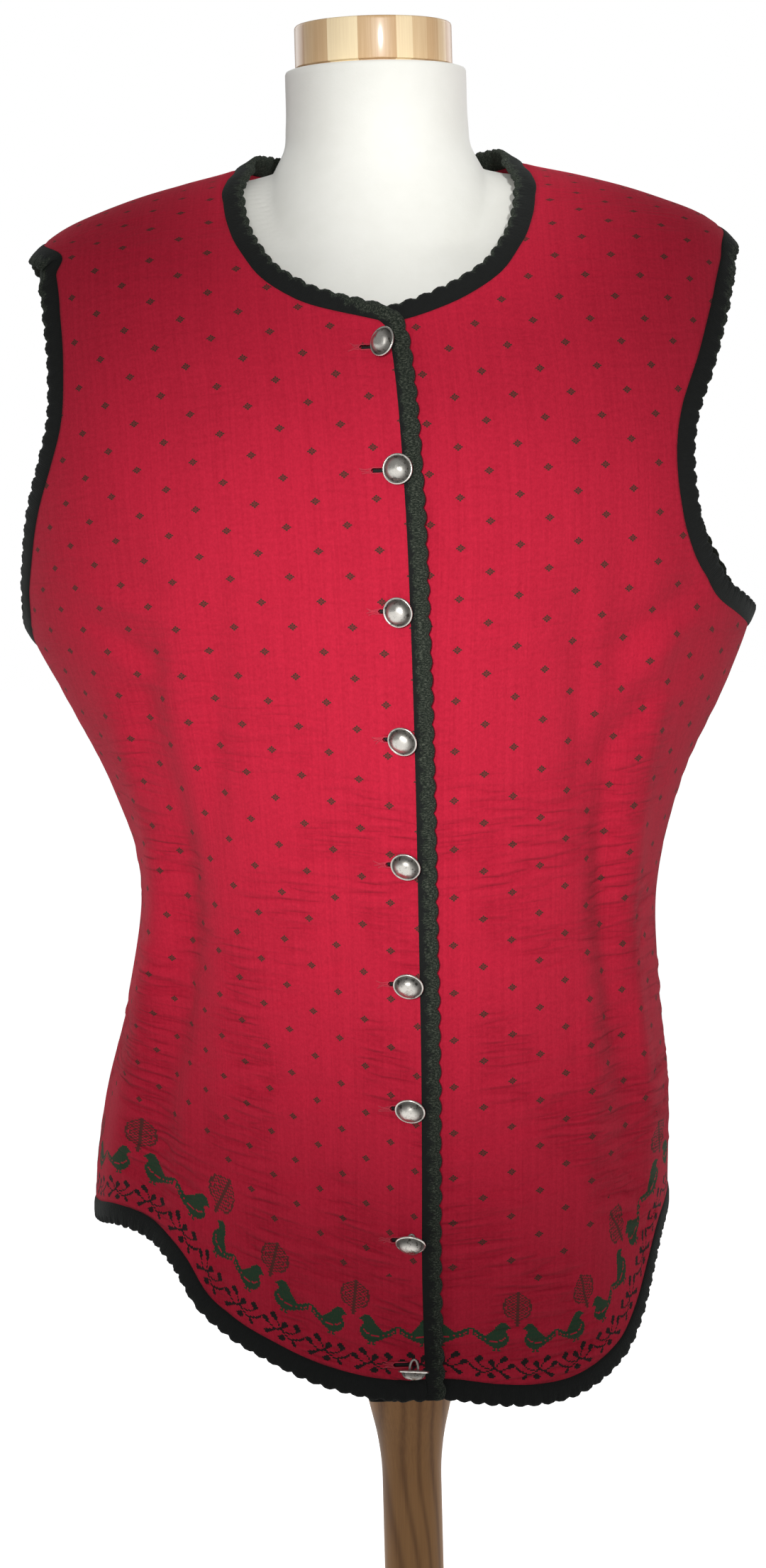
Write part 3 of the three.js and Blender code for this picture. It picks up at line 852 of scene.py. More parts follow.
@dataclass(frozen=True)
class Jersey:
    """Fine wool jersey with small diamonds and a border that follows the hem.

    Attributes:
        wale: Width of a column of stitches.
        course: Height of a row of stitches.
        border_wale: Width of a stitch along the border.
        across: Stitches from one diamond to the next along a row.
        up: Rows from one diamond to the next up a column.
        clear: Height over the cloth's hem edge where the diamonds start.
        heart: How much of the diamonds' yarn shows inside their rings.
        vine_row: The border's row where the vine starts.
        bird_row: The row where the birds start.
        tree_row: The row where the trees start.
        yarn: The ground's colour.
        shadow: The ground's colour in its darker streaks, and the painted shade in its crease
            valleys.
        green: The birds' yarn.
        brown: The diamonds' yarn.
        black: The vine's yarn.
    """

    wale: float = 1.125
    course: float = 30 / 34
    border_wale: float = 1.09
    across: int = 32
    up: int = 34
    clear: float = 63.0
    heart: float = 0.72
    vine_row: int = 3
    bird_row: int = 22
    tree_row: int = 41
    yarn: Colour = (0.60, 0.016, 0.048)
    shadow: Colour = (0.43, 0.008, 0.030)
    green: Colour = (0.022, 0.060, 0.030)
    brown: Colour = (0.050, 0.033, 0.023)
    black: Colour = (0.015, 0.014, 0.013)

    def diamonds(self, stitch: Value, row: Value) -> Value:
        """How much of the diamonds' yarn shows.

        Args:
            stitch: The whole number of the stitch across.
            row: The whole number of the row.

        Returns:
            The share, from 0 to 1: full in each diamond's ring, less inside it.
        """
        nearest = None
        for shift in (0.0, 0.5):
            i = (stitch + self.across * (0.5 + shift)) % float(self.across) - self.across / 2
            j = (row + self.up * (0.5 + shift)) % float(self.up) - self.up / 2
            away = abs(i) + abs(j)
            nearest = away if nearest is None else nearest.least(away)
        ring = (abs(nearest - 2) < 0.5) * 1.0
        return ring.most((nearest < 1.5) * self.heart)

    def border(self, shade: Shade, along: Value, above: Value) -> tuple[Value, Value, Value]:
        """Lays out the border's motifs, mirrored about the trees.

        Args:
            shade: The material.
            along: Distance along the hem from a tree's middle.
            above: Distance over the hem.

        Returns:
            The masks of the birds, the trees and the vine.
        """
        rise = (above / self.course).floor()
        repeat = 2 * BIRD.width
        stitch = (along / self.border_wale).floor()
        folded = abs((stitch + repeat / 2) % float(repeat) - repeat / 2 + 0.5).floor()
        bird = BIRD.mask(shade, folded, rise - self.bird_row)
        tree = TREE.mask(shade, folded, rise - self.tree_row) * (folded < float(TREE.width))
        vine = VINE.mask(shade, stitch % float(VINE.width), rise - self.vine_row)
        return bird, tree, vine

    def material(self, name: str, phase: float) -> Material:
        """The cloth's right side.

        Args:
            name: The material's name.
            phase: Distance along the hem from the panel's start to a tree's middle.

        Returns:
            The material.
        """
        shade = Shade(name)
        u, v = shade.uv("knit")
        along, above = shade.uv("border")
        wale = (u / self.wale) % 1.0
        leg = abs(wale - 0.5)
        course = v / self.course + leg * 0.9
        stitch, row = (u / self.wale).floor(), course.floor()

        streaks = shade.noise(shade.vector(u * 0.45, v * 0.03), 1.0, 2.0)
        mottle = shade.noise(shade.vector(u * 0.01, v * 0.012), 30.0, 3.0)
        heather = shade.noise(shade.vector(u * 0.9, v * 0.55), 1.0, 3.0, 0.65)
        each = shade.chance(stitch, 3.0) - 0.5
        field = shade.noise(shade.vector(u * 0.016, v * 0.10), 1.0, 2.0, 0.45)
        where = shade.noise(shade.vector(u * 0.014, v * 0.011), 1.0, 1.0).step(0.38, 0.60)
        low = v.step(80.0, -120.0)
        # Crease valleys, more of them low on the cloth: they dent the bump and take painted shade.
        crease_bump_and_shade = (1 - abs(field - 0.5) * 6.5).most(0.0) ** 1.4 * where * (low * 0.75 + 0.25)
        tone = (streaks - 0.5) * 0.5 + (mottle - 0.5) * 0.9 + (heather - 0.5) * 1.3 + each * 0.22
        # Painted shade: the ground darkens towards shadow in the crease valleys.
        tone = tone + crease_bump_and_shade * 0.45 + 0.40
        ground = shade.blend(tone.least(1.0).most(0.0), self.yarn, self.shadow)

        spots = self.diamonds(stitch, row) * (above > self.clear)
        bird, tree, vine = self.border(shade, along - phase, above + leg * 0.4)
        worn = (1.22 - heather * 0.42).least(1.0)
        colour = shade.blend(spots * worn, ground, self.brown)
        colour = shade.blend(tree * 0.86 * worn, colour, self.brown)
        colour = shade.blend(bird * worn, colour, self.green)
        colour = shade.blend(vine * worn, colour, self.black)

        loops = (leg * (2 * math.pi)).sine() * 0.6 + ((course % 1.0) * math.pi).sine() * 0.4
        height = loops * 0.14 + heather * 0.24 - crease_bump_and_shade * 1.8
        return shade.finish(
            colour, Roughness=0.93, Normal=shade.bump(height, 1.0, 0.85),
            Sheen_Weight=0.06, Sheen_Roughness=0.5, Sheen_Tint=(1.0, 0.35, 0.4, 1.0),
            Specular_IOR_Level=0.15,
        )

    def wrong_side(self) -> Material:
        """The cloth's inside: purl bumps, with the motifs' floating yarn as flecks."""
        shade = Shade("jersey_inside")
        u, v = shade.uv("knit")
        purl = ((v / self.course) * (2 * math.pi)).sine() * 0.5 + 0.5
        float_rows = (((v / self.course).floor() + 3) % (self.up / 2) < 5) * (purl > 0.45)
        flecks = float_rows * (shade.noise(shade.vector(u * 0.8, v), 0.8) > 0.56)
        dark = shade.noise(shade.vector(u * 0.3, v * 0.3), 1.0)
        ground = shade.blend(dark, self.yarn, self.shadow)
        colour = shade.blend(flecks * 0.7, ground, self.brown)
        return shade.finish(colour, Roughness=0.95, Normal=shade.bump(purl, 0.3, 0.6))


@dataclass(frozen=True)
class EdgingYarn:
    """The knitted edging: a smooth black face whose outer edge turns up dark green scallops.

    Attributes:
        lobe: Length of a scallop on its UV map.
        swing: How far the green's inner limit swings to each side.
        rib: Length from one of the face's ribs to the next.
        black: The face's yarn.
        faded: The same where it has faded.
        green: The outer edge's yarn.
        pale: The green's lighter strands.
    """

    lobe: float = 10.0
    swing: float = 0.7
    rib: float = 1.25
    black: Colour = (0.0088, 0.0094, 0.0092)
    faded: Colour = (0.017, 0.018, 0.017)
    green: Colour = (0.012, 0.017, 0.012)
    pale: Colour = (0.125, 0.138, 0.105)

    def material(self) -> Material:
        """The edging's material. Its UV map has the length and the distance round the section."""
        shade = Shade("edging_yarn")
        along, across = shade.uv("knit")
        share = shade.mark("green")
        wave = abs((along / self.lobe) % 1.0 - 0.5) * 4 - 1
        tuft = shade.noise(shade.vector(along * 0.75, across * 0.75), 1.0, 3.0, 0.7)
        turned_up = (across + wave * self.swing + (tuft - 0.5) * 6.5 - share).step(-0.9, 0.7)
        fibres = shade.noise(shade.vector(along * 1.5, across * 1.1), 1.0, 4.0, 0.75)
        clumps = shade.noise(shade.vector(along * 0.4, across * 0.4), 1.0, 2.0)
        marl = shade.blend(
            (fibres.step(0.44, 0.70) * (0.35 + clumps * 1.1)).least(1.0), self.green, self.pale
        )
        face = shade.blend(clumps * 0.6, self.black, self.faded)
        colour = shade.blend(turned_up, face, marl)
        rib = (along * (2 * math.pi / self.rib)).sine() * 0.5 + 0.5
        height = rib * 0.10 * (1 - turned_up) + fibres * (0.25 + turned_up * 0.55) + tuft * 0.5
        return shade.finish(
            colour, Roughness=0.95, Normal=shade.bump(height, 1.1, 0.85),
            Sheen_Weight=0.05, Sheen_Roughness=0.5, Sheen_Tint=(0.75, 0.85, 0.8, 1.0),
            Specular_IOR_Level=0.15,
        )


@dataclass(frozen=True)
class Pewter:
    """Soft pewter, dented, and dark where its piece marks tarnish and painted shade.

    Attributes:
        bright: The rubbed metal.
        dark: The tarnish, and the painted shade.
    """

    bright: Colour = (0.62, 0.595, 0.55)
    dark: Colour = (0.032, 0.029, 0.024)

    def material(self) -> Material:
        """The metal. The piece's point attribute of tarnish and painted shade is 1 where it is
        darkest.
        """
        shade = Shade("worn_pewter")
        vector = shade.spot()
        stain = shade.noise(vector, 380.0, 4.0, 0.6)
        speck = shade.noise(vector, 1500.0, 3.0, 0.6)
        spread = stain.step(0.52, 0.75) * 0.5 + speck.step(0.58, 0.75) * 0.25
        # Stains and specks, with the piece's tarnish and painted shade.
        stain_and_shade = (shade.mark("hollow") * 0.9 + spread).least(1.0)
        colour = shade.blend(stain_and_shade, self.bright, self.dark)
        height = stain * 0.7 + speck * 0.3
        return shade.finish(
            colour, Metallic=1.0 - stain_and_shade * 0.3, Roughness=0.24 + stain_and_shade * 0.4,
            Normal=shade.bump(height, 0.22, 0.55),
        )


@dataclass(frozen=True)
class Thread:
    """Wool thread of one colour.

    Attributes:
        name: The material's name.
        colour: The wool's colour.
    """

    name: str
    colour: Colour

    def material(self) -> Material:
        """The thread's material."""
        shade = Shade(self.name)
        fibres = shade.noise(shade.spot(), 1400.0, 3.0, 0.6)
        dark = tuple(c * 0.45 for c in self.colour)
        colour = shade.blend(fibres, dark, self.colour)
        return shade.finish(colour, Roughness=0.95, Normal=shade.bump(fibres, 0.2, 0.6))


@dataclass(frozen=True)
class BrushedCloth:
    """The form's brushed cream cloth.

    Attributes:
        pale: The nap.
        grey: The nap where it is rubbed the other way.
    """

    pale: Colour = (0.87, 0.865, 0.81)
    grey: Colour = (0.78, 0.775, 0.71)

    def material(self) -> Material:
        """The cloth's material."""
        shade = Shade("brushed_cloth")
        vector = shade.spot()
        cloudy = shade.noise(vector, 14.0, 3.0)
        nap = shade.noise(vector, 620.0, 3.0, 0.7)
        fleck = shade.noise(vector, 90.0, 2.0)
        rubbed = ((cloudy - 0.35) * 1.3 + (fleck - 0.5) * 0.5).least(1.0).most(0.0)
        colour = shade.blend(rubbed, self.pale, self.grey)
        height = nap * 0.6 + fleck * 0.6
        return shade.finish(
            colour, Roughness=0.95, Normal=shade.bump(height, 0.5, 0.45),
            Sheen_Weight=0.3, Sheen_Roughness=0.6, Specular_IOR_Level=0.15,
        )


@dataclass(frozen=True)
class Wood:
    """A wood's colours and grain.

    Attributes:
        name: The material's name.
        pale: The early wood.
        dark: The late wood.
        rough: The finish's roughness.
        coat: How much clear lacquer lies on it.
        staves: Where each glued stave starts, in degrees from the front, and its tone from pale to
            dark. None for one piece.
        middle: The turned piece's axis.
    """

    name: str
    pale: Colour
    dark: Colour
    rough: float
    coat: float
    staves: tuple[tuple[float, float], ...] = ()
    middle: tuple[float, float] = (0.0, 0.0)

    def material(self) -> Material:
        """The wood's material, with its grain running up Z."""
        shade = Shade(self.name)
        x, y, z = shade.place()
        wander = shade.noise(shade.vector(x * 0.012, y * 0.012, z * 0.004), 1.0, 2.0) - 0.5
        rings = ((x + wander * 34 + z * 0.035) * 0.62 + y * 0.25).sine() * 0.5 + 0.5
        fine = shade.noise(shade.vector(x * 0.9, y * 0.9, z * 0.02), 1.0, 3.0, 0.6)
        cloud = shade.noise(shade.vector(x * 0.04, y * 0.04, z * 0.01), 1.0, 2.0)
        grain = rings**3.0 * 0.62 + (fine - 0.4) * 0.8 + (cloud - 0.5) * 0.9
        if self.staves:
            turn = shade.math("ARCTAN2", x - self.middle[0], self.middle[1] - y)
            turn = turn / (2 * math.pi) + 0.5
            stops = [(start / 360 + 0.5, (tone,) * 3) for start, tone in self.staves]
            ramp = shade.node("ValToRGB", {"ramp": "CONSTANT", "stops": stops}, {0: turn})
            stave = shade.parts(ramp.outputs[0], "Color")[0]
            grain = stave + (fine - 0.5) * 0.35 + (cloud - 0.5) * 0.3
        colour = shade.blend(grain.least(1.0).most(0.0), self.pale, self.dark)
        return shade.finish(
            colour, Roughness=self.rough, Coat_Weight=self.coat, Coat_Roughness=0.12,
            Specular_IOR_Level=0.3, Normal=shade.bump(fine, 0.12, 0.35),
        )


# ---- The cardigan's panels ----


class Edge(NamedTuple):
    """Points along a panel's edge, with their normals and the way out of the cloth."""

    points: Array
    normals: Array
    outward: Array

    def evenly(self, step: float) -> tuple["Edge", Array]:
        """The edge with evenly spaced points.

        Args:
            step: The spacing that is aimed at.

        Returns:
            The new edge, and each point's distance along it.
        """
        along = travelled(self.points)
        at = np.linspace(0, along[-1], max(int(along[-1] / step), 2) + 1)
        made = [
            np.stack([np.interp(at, along, part[:, k]) for k in range(3)], axis=1)
            for part in self
        ]
        return Edge(made[0], unit(made[1]), unit(made[2])), at

    def joined(self, other: "Edge") -> "Edge":
        """This edge, and then the other from where this one ends."""
        return Edge(*(np.concatenate((a, b[1:])) for a, b in zip(self, other)))


@dataclass
class Panel:
    """One piece of the cardigan's cloth.

    Attributes:
        side: Which panel it is.
        worn: The surface that it lies on.
        columns: Faces across it.
        rows: Faces up it.
        lap_rise: How far the right front stands proud where it laps the left one.
        lap_full: The lap is full to this distance from the right front's edge.
        lap_fade: It is gone at this one.
        lap_depth: How far the left front's cloth goes under the right one's edge.
        corner: Radius of the front's top corner.
        span: The width that a share across the panel is reckoned by.
        hold: Distance from an edge over which the edging holds the cloth flat.
        seam_gap: Room between two panels at a seam.
        shoulder: Height over which the courses follow the cloth over the shoulder.
        upright: How much of the hem's tilt the border takes up.
        border_top: Height that the border stays under.
        calm: Height over which the side's turns are evened out for the inner columns.
        meet: Length over which an edging turns square to the seam at its end.
        droop_from: Distance from the wales' start where the courses begin to fall to the side.
        droop_soft: How softly they begin to.
        tree: Distance along the hem from the panel's start to the middle of a tree.
    """

    side: Side
    worn: Worn
    columns: int
    rows: int
    tree: float
    lap_rise: float = 6.0
    lap_full: float = 16.0
    lap_fade: float = 58.0
    lap_depth: float = 24.0
    corner: float = 12.0
    hold: float = 14.0
    seam_gap: float = 0.05
    shoulder: float = 1150.0
    upright: float = 0.55
    border_top: float = 735.0
    calm: float = 34.0
    meet: float = 14.0
    droop_from: float = 55.0
    droop_soft: float = 40.0
    sign: int = field(init=False)
    span: float = field(init=False)

    def __post_init__(self) -> None:
        """Works out the sign of the panel's angles and the lengths over its cloth."""
        self.sign = -1 if self.side is Side.RIGHT else 1
        self.span = 560.0 if self.side is Side.BACK else 290.0
        self.heights = np.linspace(480, 1300, 411)
        shifts = np.linspace(-self.calm, self.calm, 9)
        self.evened = np.mean([self.side_angle(self.heights + shift) for shift in shifts], axis=0)
        self.measure()

    @property
    def corner_share(self) -> float:
        """The share of a front's width that its rounded corner takes."""
        return self.corner / self.span

    @property
    def side_foot(self) -> float:
        """The height of the hem's edge at the side seam."""
        return self.ends(np.array([0.0 if self.side is Side.BACK else 1.0]))[0][0]

    def side_angle(self, z: Array) -> Array:
        """Where the panel ends at its side: the side seam, the armhole or the shoulder seam.

        Args:
            z: Heights.

        Returns:
            Unsigned angles.
        """
        open_here = (z > UNDERARM_Z) & (z < SHOULDER_TIP_Z)
        plain = np.where(open_here, ARMHOLE.read(self.side.value, z), 90.0)
        gap = np.degrees(self.seam_gap / 2 / self.worn.radius(np.full_like(z, 90.0), z))
        return plain + gap if self.side is Side.BACK else plain - gap

    def toward_side(self, start: Array | float, t: Array, z: Array) -> Array:
        """The angle part of the way to the side.

        Only the columns next to the side follow its quick turns at the underarm and shoulder tip.

        Args:
            start: The angle to start from.
            t: The share of the way.
            z: Heights.

        Returns:
            Unsigned angles.
        """
        calm = np.interp(z, self.heights, self.evened)
        return mix(start, calm, t) + (self.side_angle(z) - calm) * smooth((t - 0.68) / 0.32)

    def angle(self, u: Array, z: Array) -> Array:
        """The unsigned angle across the panel.

        Args:
            u: Shares across it, from 0 to 1.
            z: Heights.

        Returns:
            The angles. On the back they go on past 180.
        """
        if self.side is Side.BACK:
            half = self.toward_side(180.0, np.abs(1 - 2 * u), z)
            return np.where(u <= 0.5, half, 360 - half)
        under = self.lap_depth if self.side is Side.LEFT else 0.0
        depth = BODY.read("front", z) + BODY.read("widest", z)
        front = self.sign * np.degrees(np.arctan2(FRONT_EDGE.read("x", z) - under, depth))
        return self.toward_side(front, u, z)

    def ends(self, u: Array) -> tuple[Array, Array]:
        """The heights of the hem's edge and of the neck's edge.

        Args:
            u: Shares across the panel.

        Returns:
            Both heights at each share.
        """
        near_hem = 560.0
        if self.side is Side.BACK:
            def from_front(z: float) -> Array:
                """The unsigned angles at a height, up to 180 from either side."""
                turn = self.angle(u, np.full_like(u, z))
                return np.where(turn > 180, 360 - turn, turn)
            head = NECK.read("z", from_front(NECK_POINT_Z))
            return HEM_BACK.read("z", from_front(near_hem)), head
        foot = np.full_like(u, near_hem)
        for _ in range(5):
            foot = HEM.read(self.side.value, np.abs(self.angle(u, foot)))
        low, high = np.full_like(u, 1100.0), np.full_like(u, NECK_POINT_Z)
        for _ in range(30):
            z = (low + high) / 2
            above = NECK.read("z", np.abs(self.angle(u, z))) > z
            low, high = np.where(above, z, low), np.where(above, high, z)
        inside = np.clip(1 - u / self.corner_share, 0, 1)
        return foot, (low + high) / 2 - self.corner * (1 - np.sqrt(1 - inside * inside))

    def locate(self, u: Array, seam_z: Array) -> tuple[Array, Array]:
        """The signed angle and the height of points of the panel.

        Args:
            u: Shares across it.
            seam_z: The height of each point's row at the side seam.

        Returns:
            Angles and heights.
        """
        foot, head = self.ends(u)
        hem = self.side_foot
        skirt = mix(foot, UNDERARM_Z, (seam_z - hem) / (UNDERARM_Z - hem))
        top = mix(UNDERARM_Z, head, (seam_z - UNDERARM_Z) / (NECK_POINT_Z - UNDERARM_Z))
        z = np.where(seam_z <= UNDERARM_Z, skirt, top)
        turn = self.angle(u, z)
        return (turn if self.side is Side.BACK else self.sign * turn), z

    def row_heights(self) -> Array:
        """The heights at the side seam of the grid's rows, closer at the underarm."""
        hem = self.side_foot
        spans = (UNDERARM_Z - hem, SHOULDER_TIP_Z - UNDERARM_Z, NECK_POINT_Z - SHOULDER_TIP_Z)
        counts = [round(self.rows * span / sum(spans)) for span in spans]
        counts[0] += self.rows - sum(counts)
        skirt = np.linspace(hem, UNDERARM_Z, counts[0] + 1)
        t = np.linspace(0, 1, counts[1] + 1)
        eased = 0.62 * t + 0.38 * (1 - np.cos(np.pi * t)) / 2
        arm = UNDERARM_Z + eased * spans[1]
        shoulder = np.linspace(SHOULDER_TIP_Z, NECK_POINT_Z, counts[2] + 1)
        return np.concatenate((skirt, arm[1:], shoulder[1:]))

    def shares(self) -> Array:
        """The shares across the panel of the grid's columns, closer at a front's corner."""
        if self.side is Side.BACK:
            return np.linspace(0, 1, self.columns + 1)
        count = 8
        close = self.corner_share * (1 - np.cos(np.pi / 2 * np.arange(count) / count))
        return np.concatenate((close, np.linspace(self.corner_share, 1, self.columns + 1 - count)))

    def surface(self, u: Array, seam_z: Array) -> tuple[Array, Array]:
        """The cloth's outer face.

        Args:
            u: Shares across the panel.
            seam_z: The height of each point's row at the side seam.

        Returns:
            Its points, and the worn surface's normals there.
        """
        angle, z = self.locate(u, seam_z)
        p, n = self.worn.point(angle, z), self.worn.normal(angle, z)
        lift = relief(p, angle, z) * self.edge_calm(u, seam_z)
        if self.side is Side.RIGHT:
            away = FRONT_EDGE.read("x", z) - p[..., 0]
            lift = lift + self.lap_rise * (
                1 - smooth((away - self.lap_full) / (self.lap_fade - self.lap_full))
            )
        return p + n * lift[..., None], n

    def edge_calm(self, u: Array, seam_z: Array) -> Array:
        """How free the cloth is to crease.

        Args:
            u: Shares across the panel.
            seam_z: The height of each point's row at the side seam.

        Returns:
            1 inside the panel, falling to 0 at its edges, where the edging holds it flat.
        """
        across = np.minimum(u, 1 - u) * self.span
        rows = self.row_heights()
        up = np.minimum(seam_z - rows[0], rows[-1] - seam_z)
        return smooth(np.minimum(across, up) / self.hold)

    def measure(self) -> None:
        """Tabulates the lengths over the cloth from its start and from the hem's lowest height."""
        self.level = np.linspace(500, 1280, 196)
        self.share = np.linspace(0, 1, 73)
        u, z = np.meshgrid(self.share, self.level)
        angle = self.angle(u, z) * (1 if self.side is Side.BACK else self.sign)
        p = self.worn.point(angle, z)
        across = np.linalg.norm(np.diff(p, axis=1), axis=2)
        up = np.linalg.norm(np.diff(p, axis=0), axis=2)
        self.along = np.concatenate((np.zeros((len(z), 1)), np.cumsum(across, axis=1)), axis=1)
        self.climb = np.concatenate((np.zeros((1, u.shape[1])), np.cumsum(up, axis=0)), axis=0)
        if self.side is Side.BACK:
            self.along -= self.along[:, len(self.share) // 2][:, None]

    def arcs(self, u: Array, z: Array) -> tuple[Array, Array]:
        """The lengths over the worn cloth to each point.

        Args:
            u: The points' shares across the panel.
            z: Their heights.

        Returns:
            The lengths across from the panel's start, and the lengths up.
        """
        i = (z - self.level[0]) / (self.level[1] - self.level[0])
        i = np.clip(i, 0, len(self.level) - 1.001)
        j = np.clip(u / self.share[1], 0, len(self.share) - 1.001)
        i0, j0 = i.astype(int), j.astype(int)
        s, t = i - i0, j - j0

        def between(table: Array) -> Array:
            """A table's values between its grid's points."""
            low = mix(table[i0, j0], table[i0, j0 + 1], t)
            return mix(low, mix(table[i0 + 1, j0], table[i0 + 1, j0 + 1], t), s)

        return between(self.along), between(self.climb)

    def lengths(self, u: Array, z: Array) -> Array:
        """Each point's place on the knitted pattern.

        Args:
            u: The points' shares across the panel.
            z: Their heights.

        Returns:
            The places in millimetres, across and up.
        """
        across, up = self.arcs(u, z)
        rows = WALES[self.side.value]
        out = across - rows.read("start", z)
        level = np.minimum(z, self.shoulder)
        over = np.maximum(up - self.arcs(u, level)[1], 0)
        outer = out - self.droop_from
        outer = (np.hypot(outer, self.droop_soft) + outer) / 2
        drape = rows.read("fall", z) * outer - rows.read("rise", z) * out
        flat = COURSES.read("flat", level + drape)
        return np.stack((out * rows.read("gather", z) * self.sign, flat + over), axis=-1)

    def border_place(self, u: Array, z: Array) -> Array:
        """Each point's distance along the hem's edge, and over it.

        The border leans between square to the hem and straight up the wales.

        Args:
            u: The points' shares across the panel.
            z: Their heights.

        Returns:
            The two distances in millimetres. Far from the hem the second is just large.
        """
        t = np.linspace(0, 1, 700)
        foot = self.ends(t)[0]
        hem = np.stack(self.arcs(t, foot), axis=1)
        along = travelled(hem)
        tilt = np.arctan2(*np.gradient(hem, axis=0).T[::-1])
        kernel = np.hanning(91) / np.hanning(91).sum()
        calm = np.convolve(np.pad(tilt, 45, mode="edge"), kernel, mode="valid")
        normal = np.stack((-np.sin(calm), np.cos(calm)), axis=1)
        way = np.stack((-np.sin(calm * self.upright), np.cos(calm * self.upright)), axis=1)
        made = np.stack((np.zeros(len(u)), np.full(len(u), 1000.0)), axis=1)
        near = np.nonzero(z < self.border_top)[0]
        points = np.stack(self.arcs(u, z), axis=1)
        for chunk in np.array_split(near, max(len(near) // CHUNK, 1)):
            gap = points[chunk, None] - hem[None]
            off = np.abs(gap[..., 0] * way[:, 1] - gap[..., 1] * way[:, 0])
            i = (off + 0.03 * np.linalg.norm(gap, axis=2)).argmin(axis=1)
            rows = np.arange(len(chunk))
            side = gap[rows, i, 0] * way[i, 1] - gap[rows, i, 1] * way[i, 0]
            made[chunk, 0] = along[i] + np.clip(side, -0.5, 0.5)
            made[chunk, 1] = (gap[rows, i] * normal[i]).sum(axis=1)
        return made

    def edge_of(self, which: str) -> Edge:
        """One of the panel's edges.

        Args:
            which: front, hem, neck, or side, or for the back start and end for its two sides. The
                side edges are the armhole's stretch only.

        Returns:
            The edge. It runs upwards, or from the panel's first column.
        """
        rows = self.row_heights()
        count = 1200
        t = np.linspace(0, 1, count)
        arm = mix(UNDERARM_Z, SHOULDER_TIP_Z, (1 - np.cos(np.pi * t)) / 2)
        at_corner = t if self.side is Side.BACK else t**1.6
        lines = {
            "front": (np.zeros(count), mix(rows[0], rows[-1], t), 1e-2, 0.0),
            "hem": (t, np.full(count, rows[0]), 0.0, 3.0),
            "neck": (at_corner, np.full(count, rows[-1]), 0.0, -3.0),
            "side": (np.ones(count), arm, -1e-2, 0.0),
            "start": (np.zeros(count), arm, 1e-2, 0.0),
            "end": (np.ones(count), arm, -1e-2, 0.0),
        }
        u, seam_z, du, dz = lines[which]
        p, n = self.surface(u, seam_z)
        inside = self.surface(u + du, seam_z + dz)[0]
        tangent = unit(np.gradient(p, axis=0))
        out = np.cross(tangent, n)
        if float(np.median(((inside - p) * out).sum(axis=1))) > 0:
            out = -out
        return Edge(p, n, self.squared(p, n, unit(out), which))

    def squared(self, p: Array, n: Array, out: Array, which: str) -> Array:
        """The ways out of the cloth, turned square to the seams so that two edgings meet there.

        Args:
            p: The edge's points.
            n: Their normals.
            out: Their ways out of the cloth.
            which: The edge.

        Returns:
            The turned ways.
        """
        if which == "front":
            return out
        along = travelled(p)
        left = along[-1] - along
        if self.side is Side.BACK or which == "side":
            left = np.minimum(left, along)
        level = unit(np.cross(np.array((0.0, 1.0, 0.0)), n))
        level = level * np.sign((level * out).sum(axis=1, keepdims=True))
        return unit(mix(out, level, smooth(1 - left / self.meet)[:, None]))

    def build(self) -> Mesh:
        """The panel's outer face as a grid, with its two UV maps."""
        shares, rows = self.shares(), self.row_heights()
        flip = self.side is Side.RIGHT

        def spread(x: Array, y: Array) -> tuple[Array, Array]:
            """The grid's even places as the panel's own columns and rows."""
            i = np.rint((1 - x if flip else x) * self.columns).astype(int)
            j = np.rint(y * self.rows).astype(int)
            return shares[i], rows[j]

        def knit(x: Array, y: Array) -> Array:
            """The UV map of the knitted pattern."""
            u, seam_z = spread(x, y)
            return self.lengths(u, self.locate(u, seam_z)[1]) * MM

        def border(x: Array, y: Array) -> Array:
            """The UV map of the border along the hem."""
            u, seam_z = spread(x, y)
            return self.border_place(u, self.locate(u, seam_z)[1]) * MM

        return Shell(self.columns, self.rows).bend(
            lambda x, y: self.surface(*spread(x, y))[0], {"knit": knit, "border": border}
        )


class Crease(NamedTuple):
    """A soft crease, as it lies seen from the front or the back: two ends, a width and a depth."""

    x: float
    z: float
    to_x: float
    to_z: float
    width: float
    depth: float


def creases(*rows: tuple[float, ...]) -> tuple[Crease, ...]:
    """Creases from rows of a crease's numbers, in their order."""
    return tuple(Crease(*row) for row in rows)


CREASES_FRONT = creases(
    (-128, 1010, -136, 860, 11, 3.5),
    (-104, 1006, -112, 850, 9, -3.8),
    (-150, 960, -160, 850, 10, -3.2),
    (-150, 830, -163, 720, 12, 3.8),
    (-120, 800, -128, 660, 9, -2.6),
    (-190, 1010, -130, 985, 8, 2.2),
    (-186, 990, -140, 962, 6, -1.9),
    (-176, 968, -136, 944, 6, 1.8),
    (-150, 1120, -60, 1135, 15, -2.2),
    (-60, 1128, -12, 1100, 12, -1.9),
    (14, 1060, 34, 1012, 8, -3.2),
    (26, 1046, 52, 1002, 9, 1.9),
    (12, 976, 26, 930, 7, -2.1),
    (150, 1110, 60, 1130, 16, -2.1),
    (196, 1006, 130, 960, 10, -3.5),
    (186, 980, 128, 930, 9, 2.7),
    (172, 946, 122, 896, 8, -2.6),
    (112, 1010, 118, 850, 11, -3.5),
    (136, 1000, 140, 820, 12, 3.5),
    (150, 800, 142, 640, 11, -3.2),
    (118, 770, 112, 600, 10, 2.4),
    (16, 890, 46, 876, 5, -1.6),
    (18, 792, 60, 778, 5, -1.6),
    (-14, 778, -66, 770, 5, -1.6),
    (-16, 700, -90, 706, 5, -1.9),
    (-30, 684, -120, 696, 5, 1.6),
    (-22, 640, -84, 652, 5, -1.8),
    (20, 664, 84, 676, 5, -1.8),
    (24, 622, 96, 632, 5, 1.6),
)
CREASES_BACK = creases(
    (-60, 1180, 60, 1180, 26, -2.6),
    (-150, 1120, -90, 960, 14, 2.3),
    (150, 1120, 92, 960, 14, 2.3),
    (-120, 880, -30, 850, 10, -2.6),
    (116, 884, 26, 846, 10, -2.6),
    (-110, 850, -40, 826, 8, 2.0),
    (104, 852, 36, 822, 8, 2.0),
    (-40, 800, 44, 806, 9, -1.8),
    (-84, 760, -92, 600, 13, 2.9),
    (88, 770, 98, 610, 13, 2.9),
)


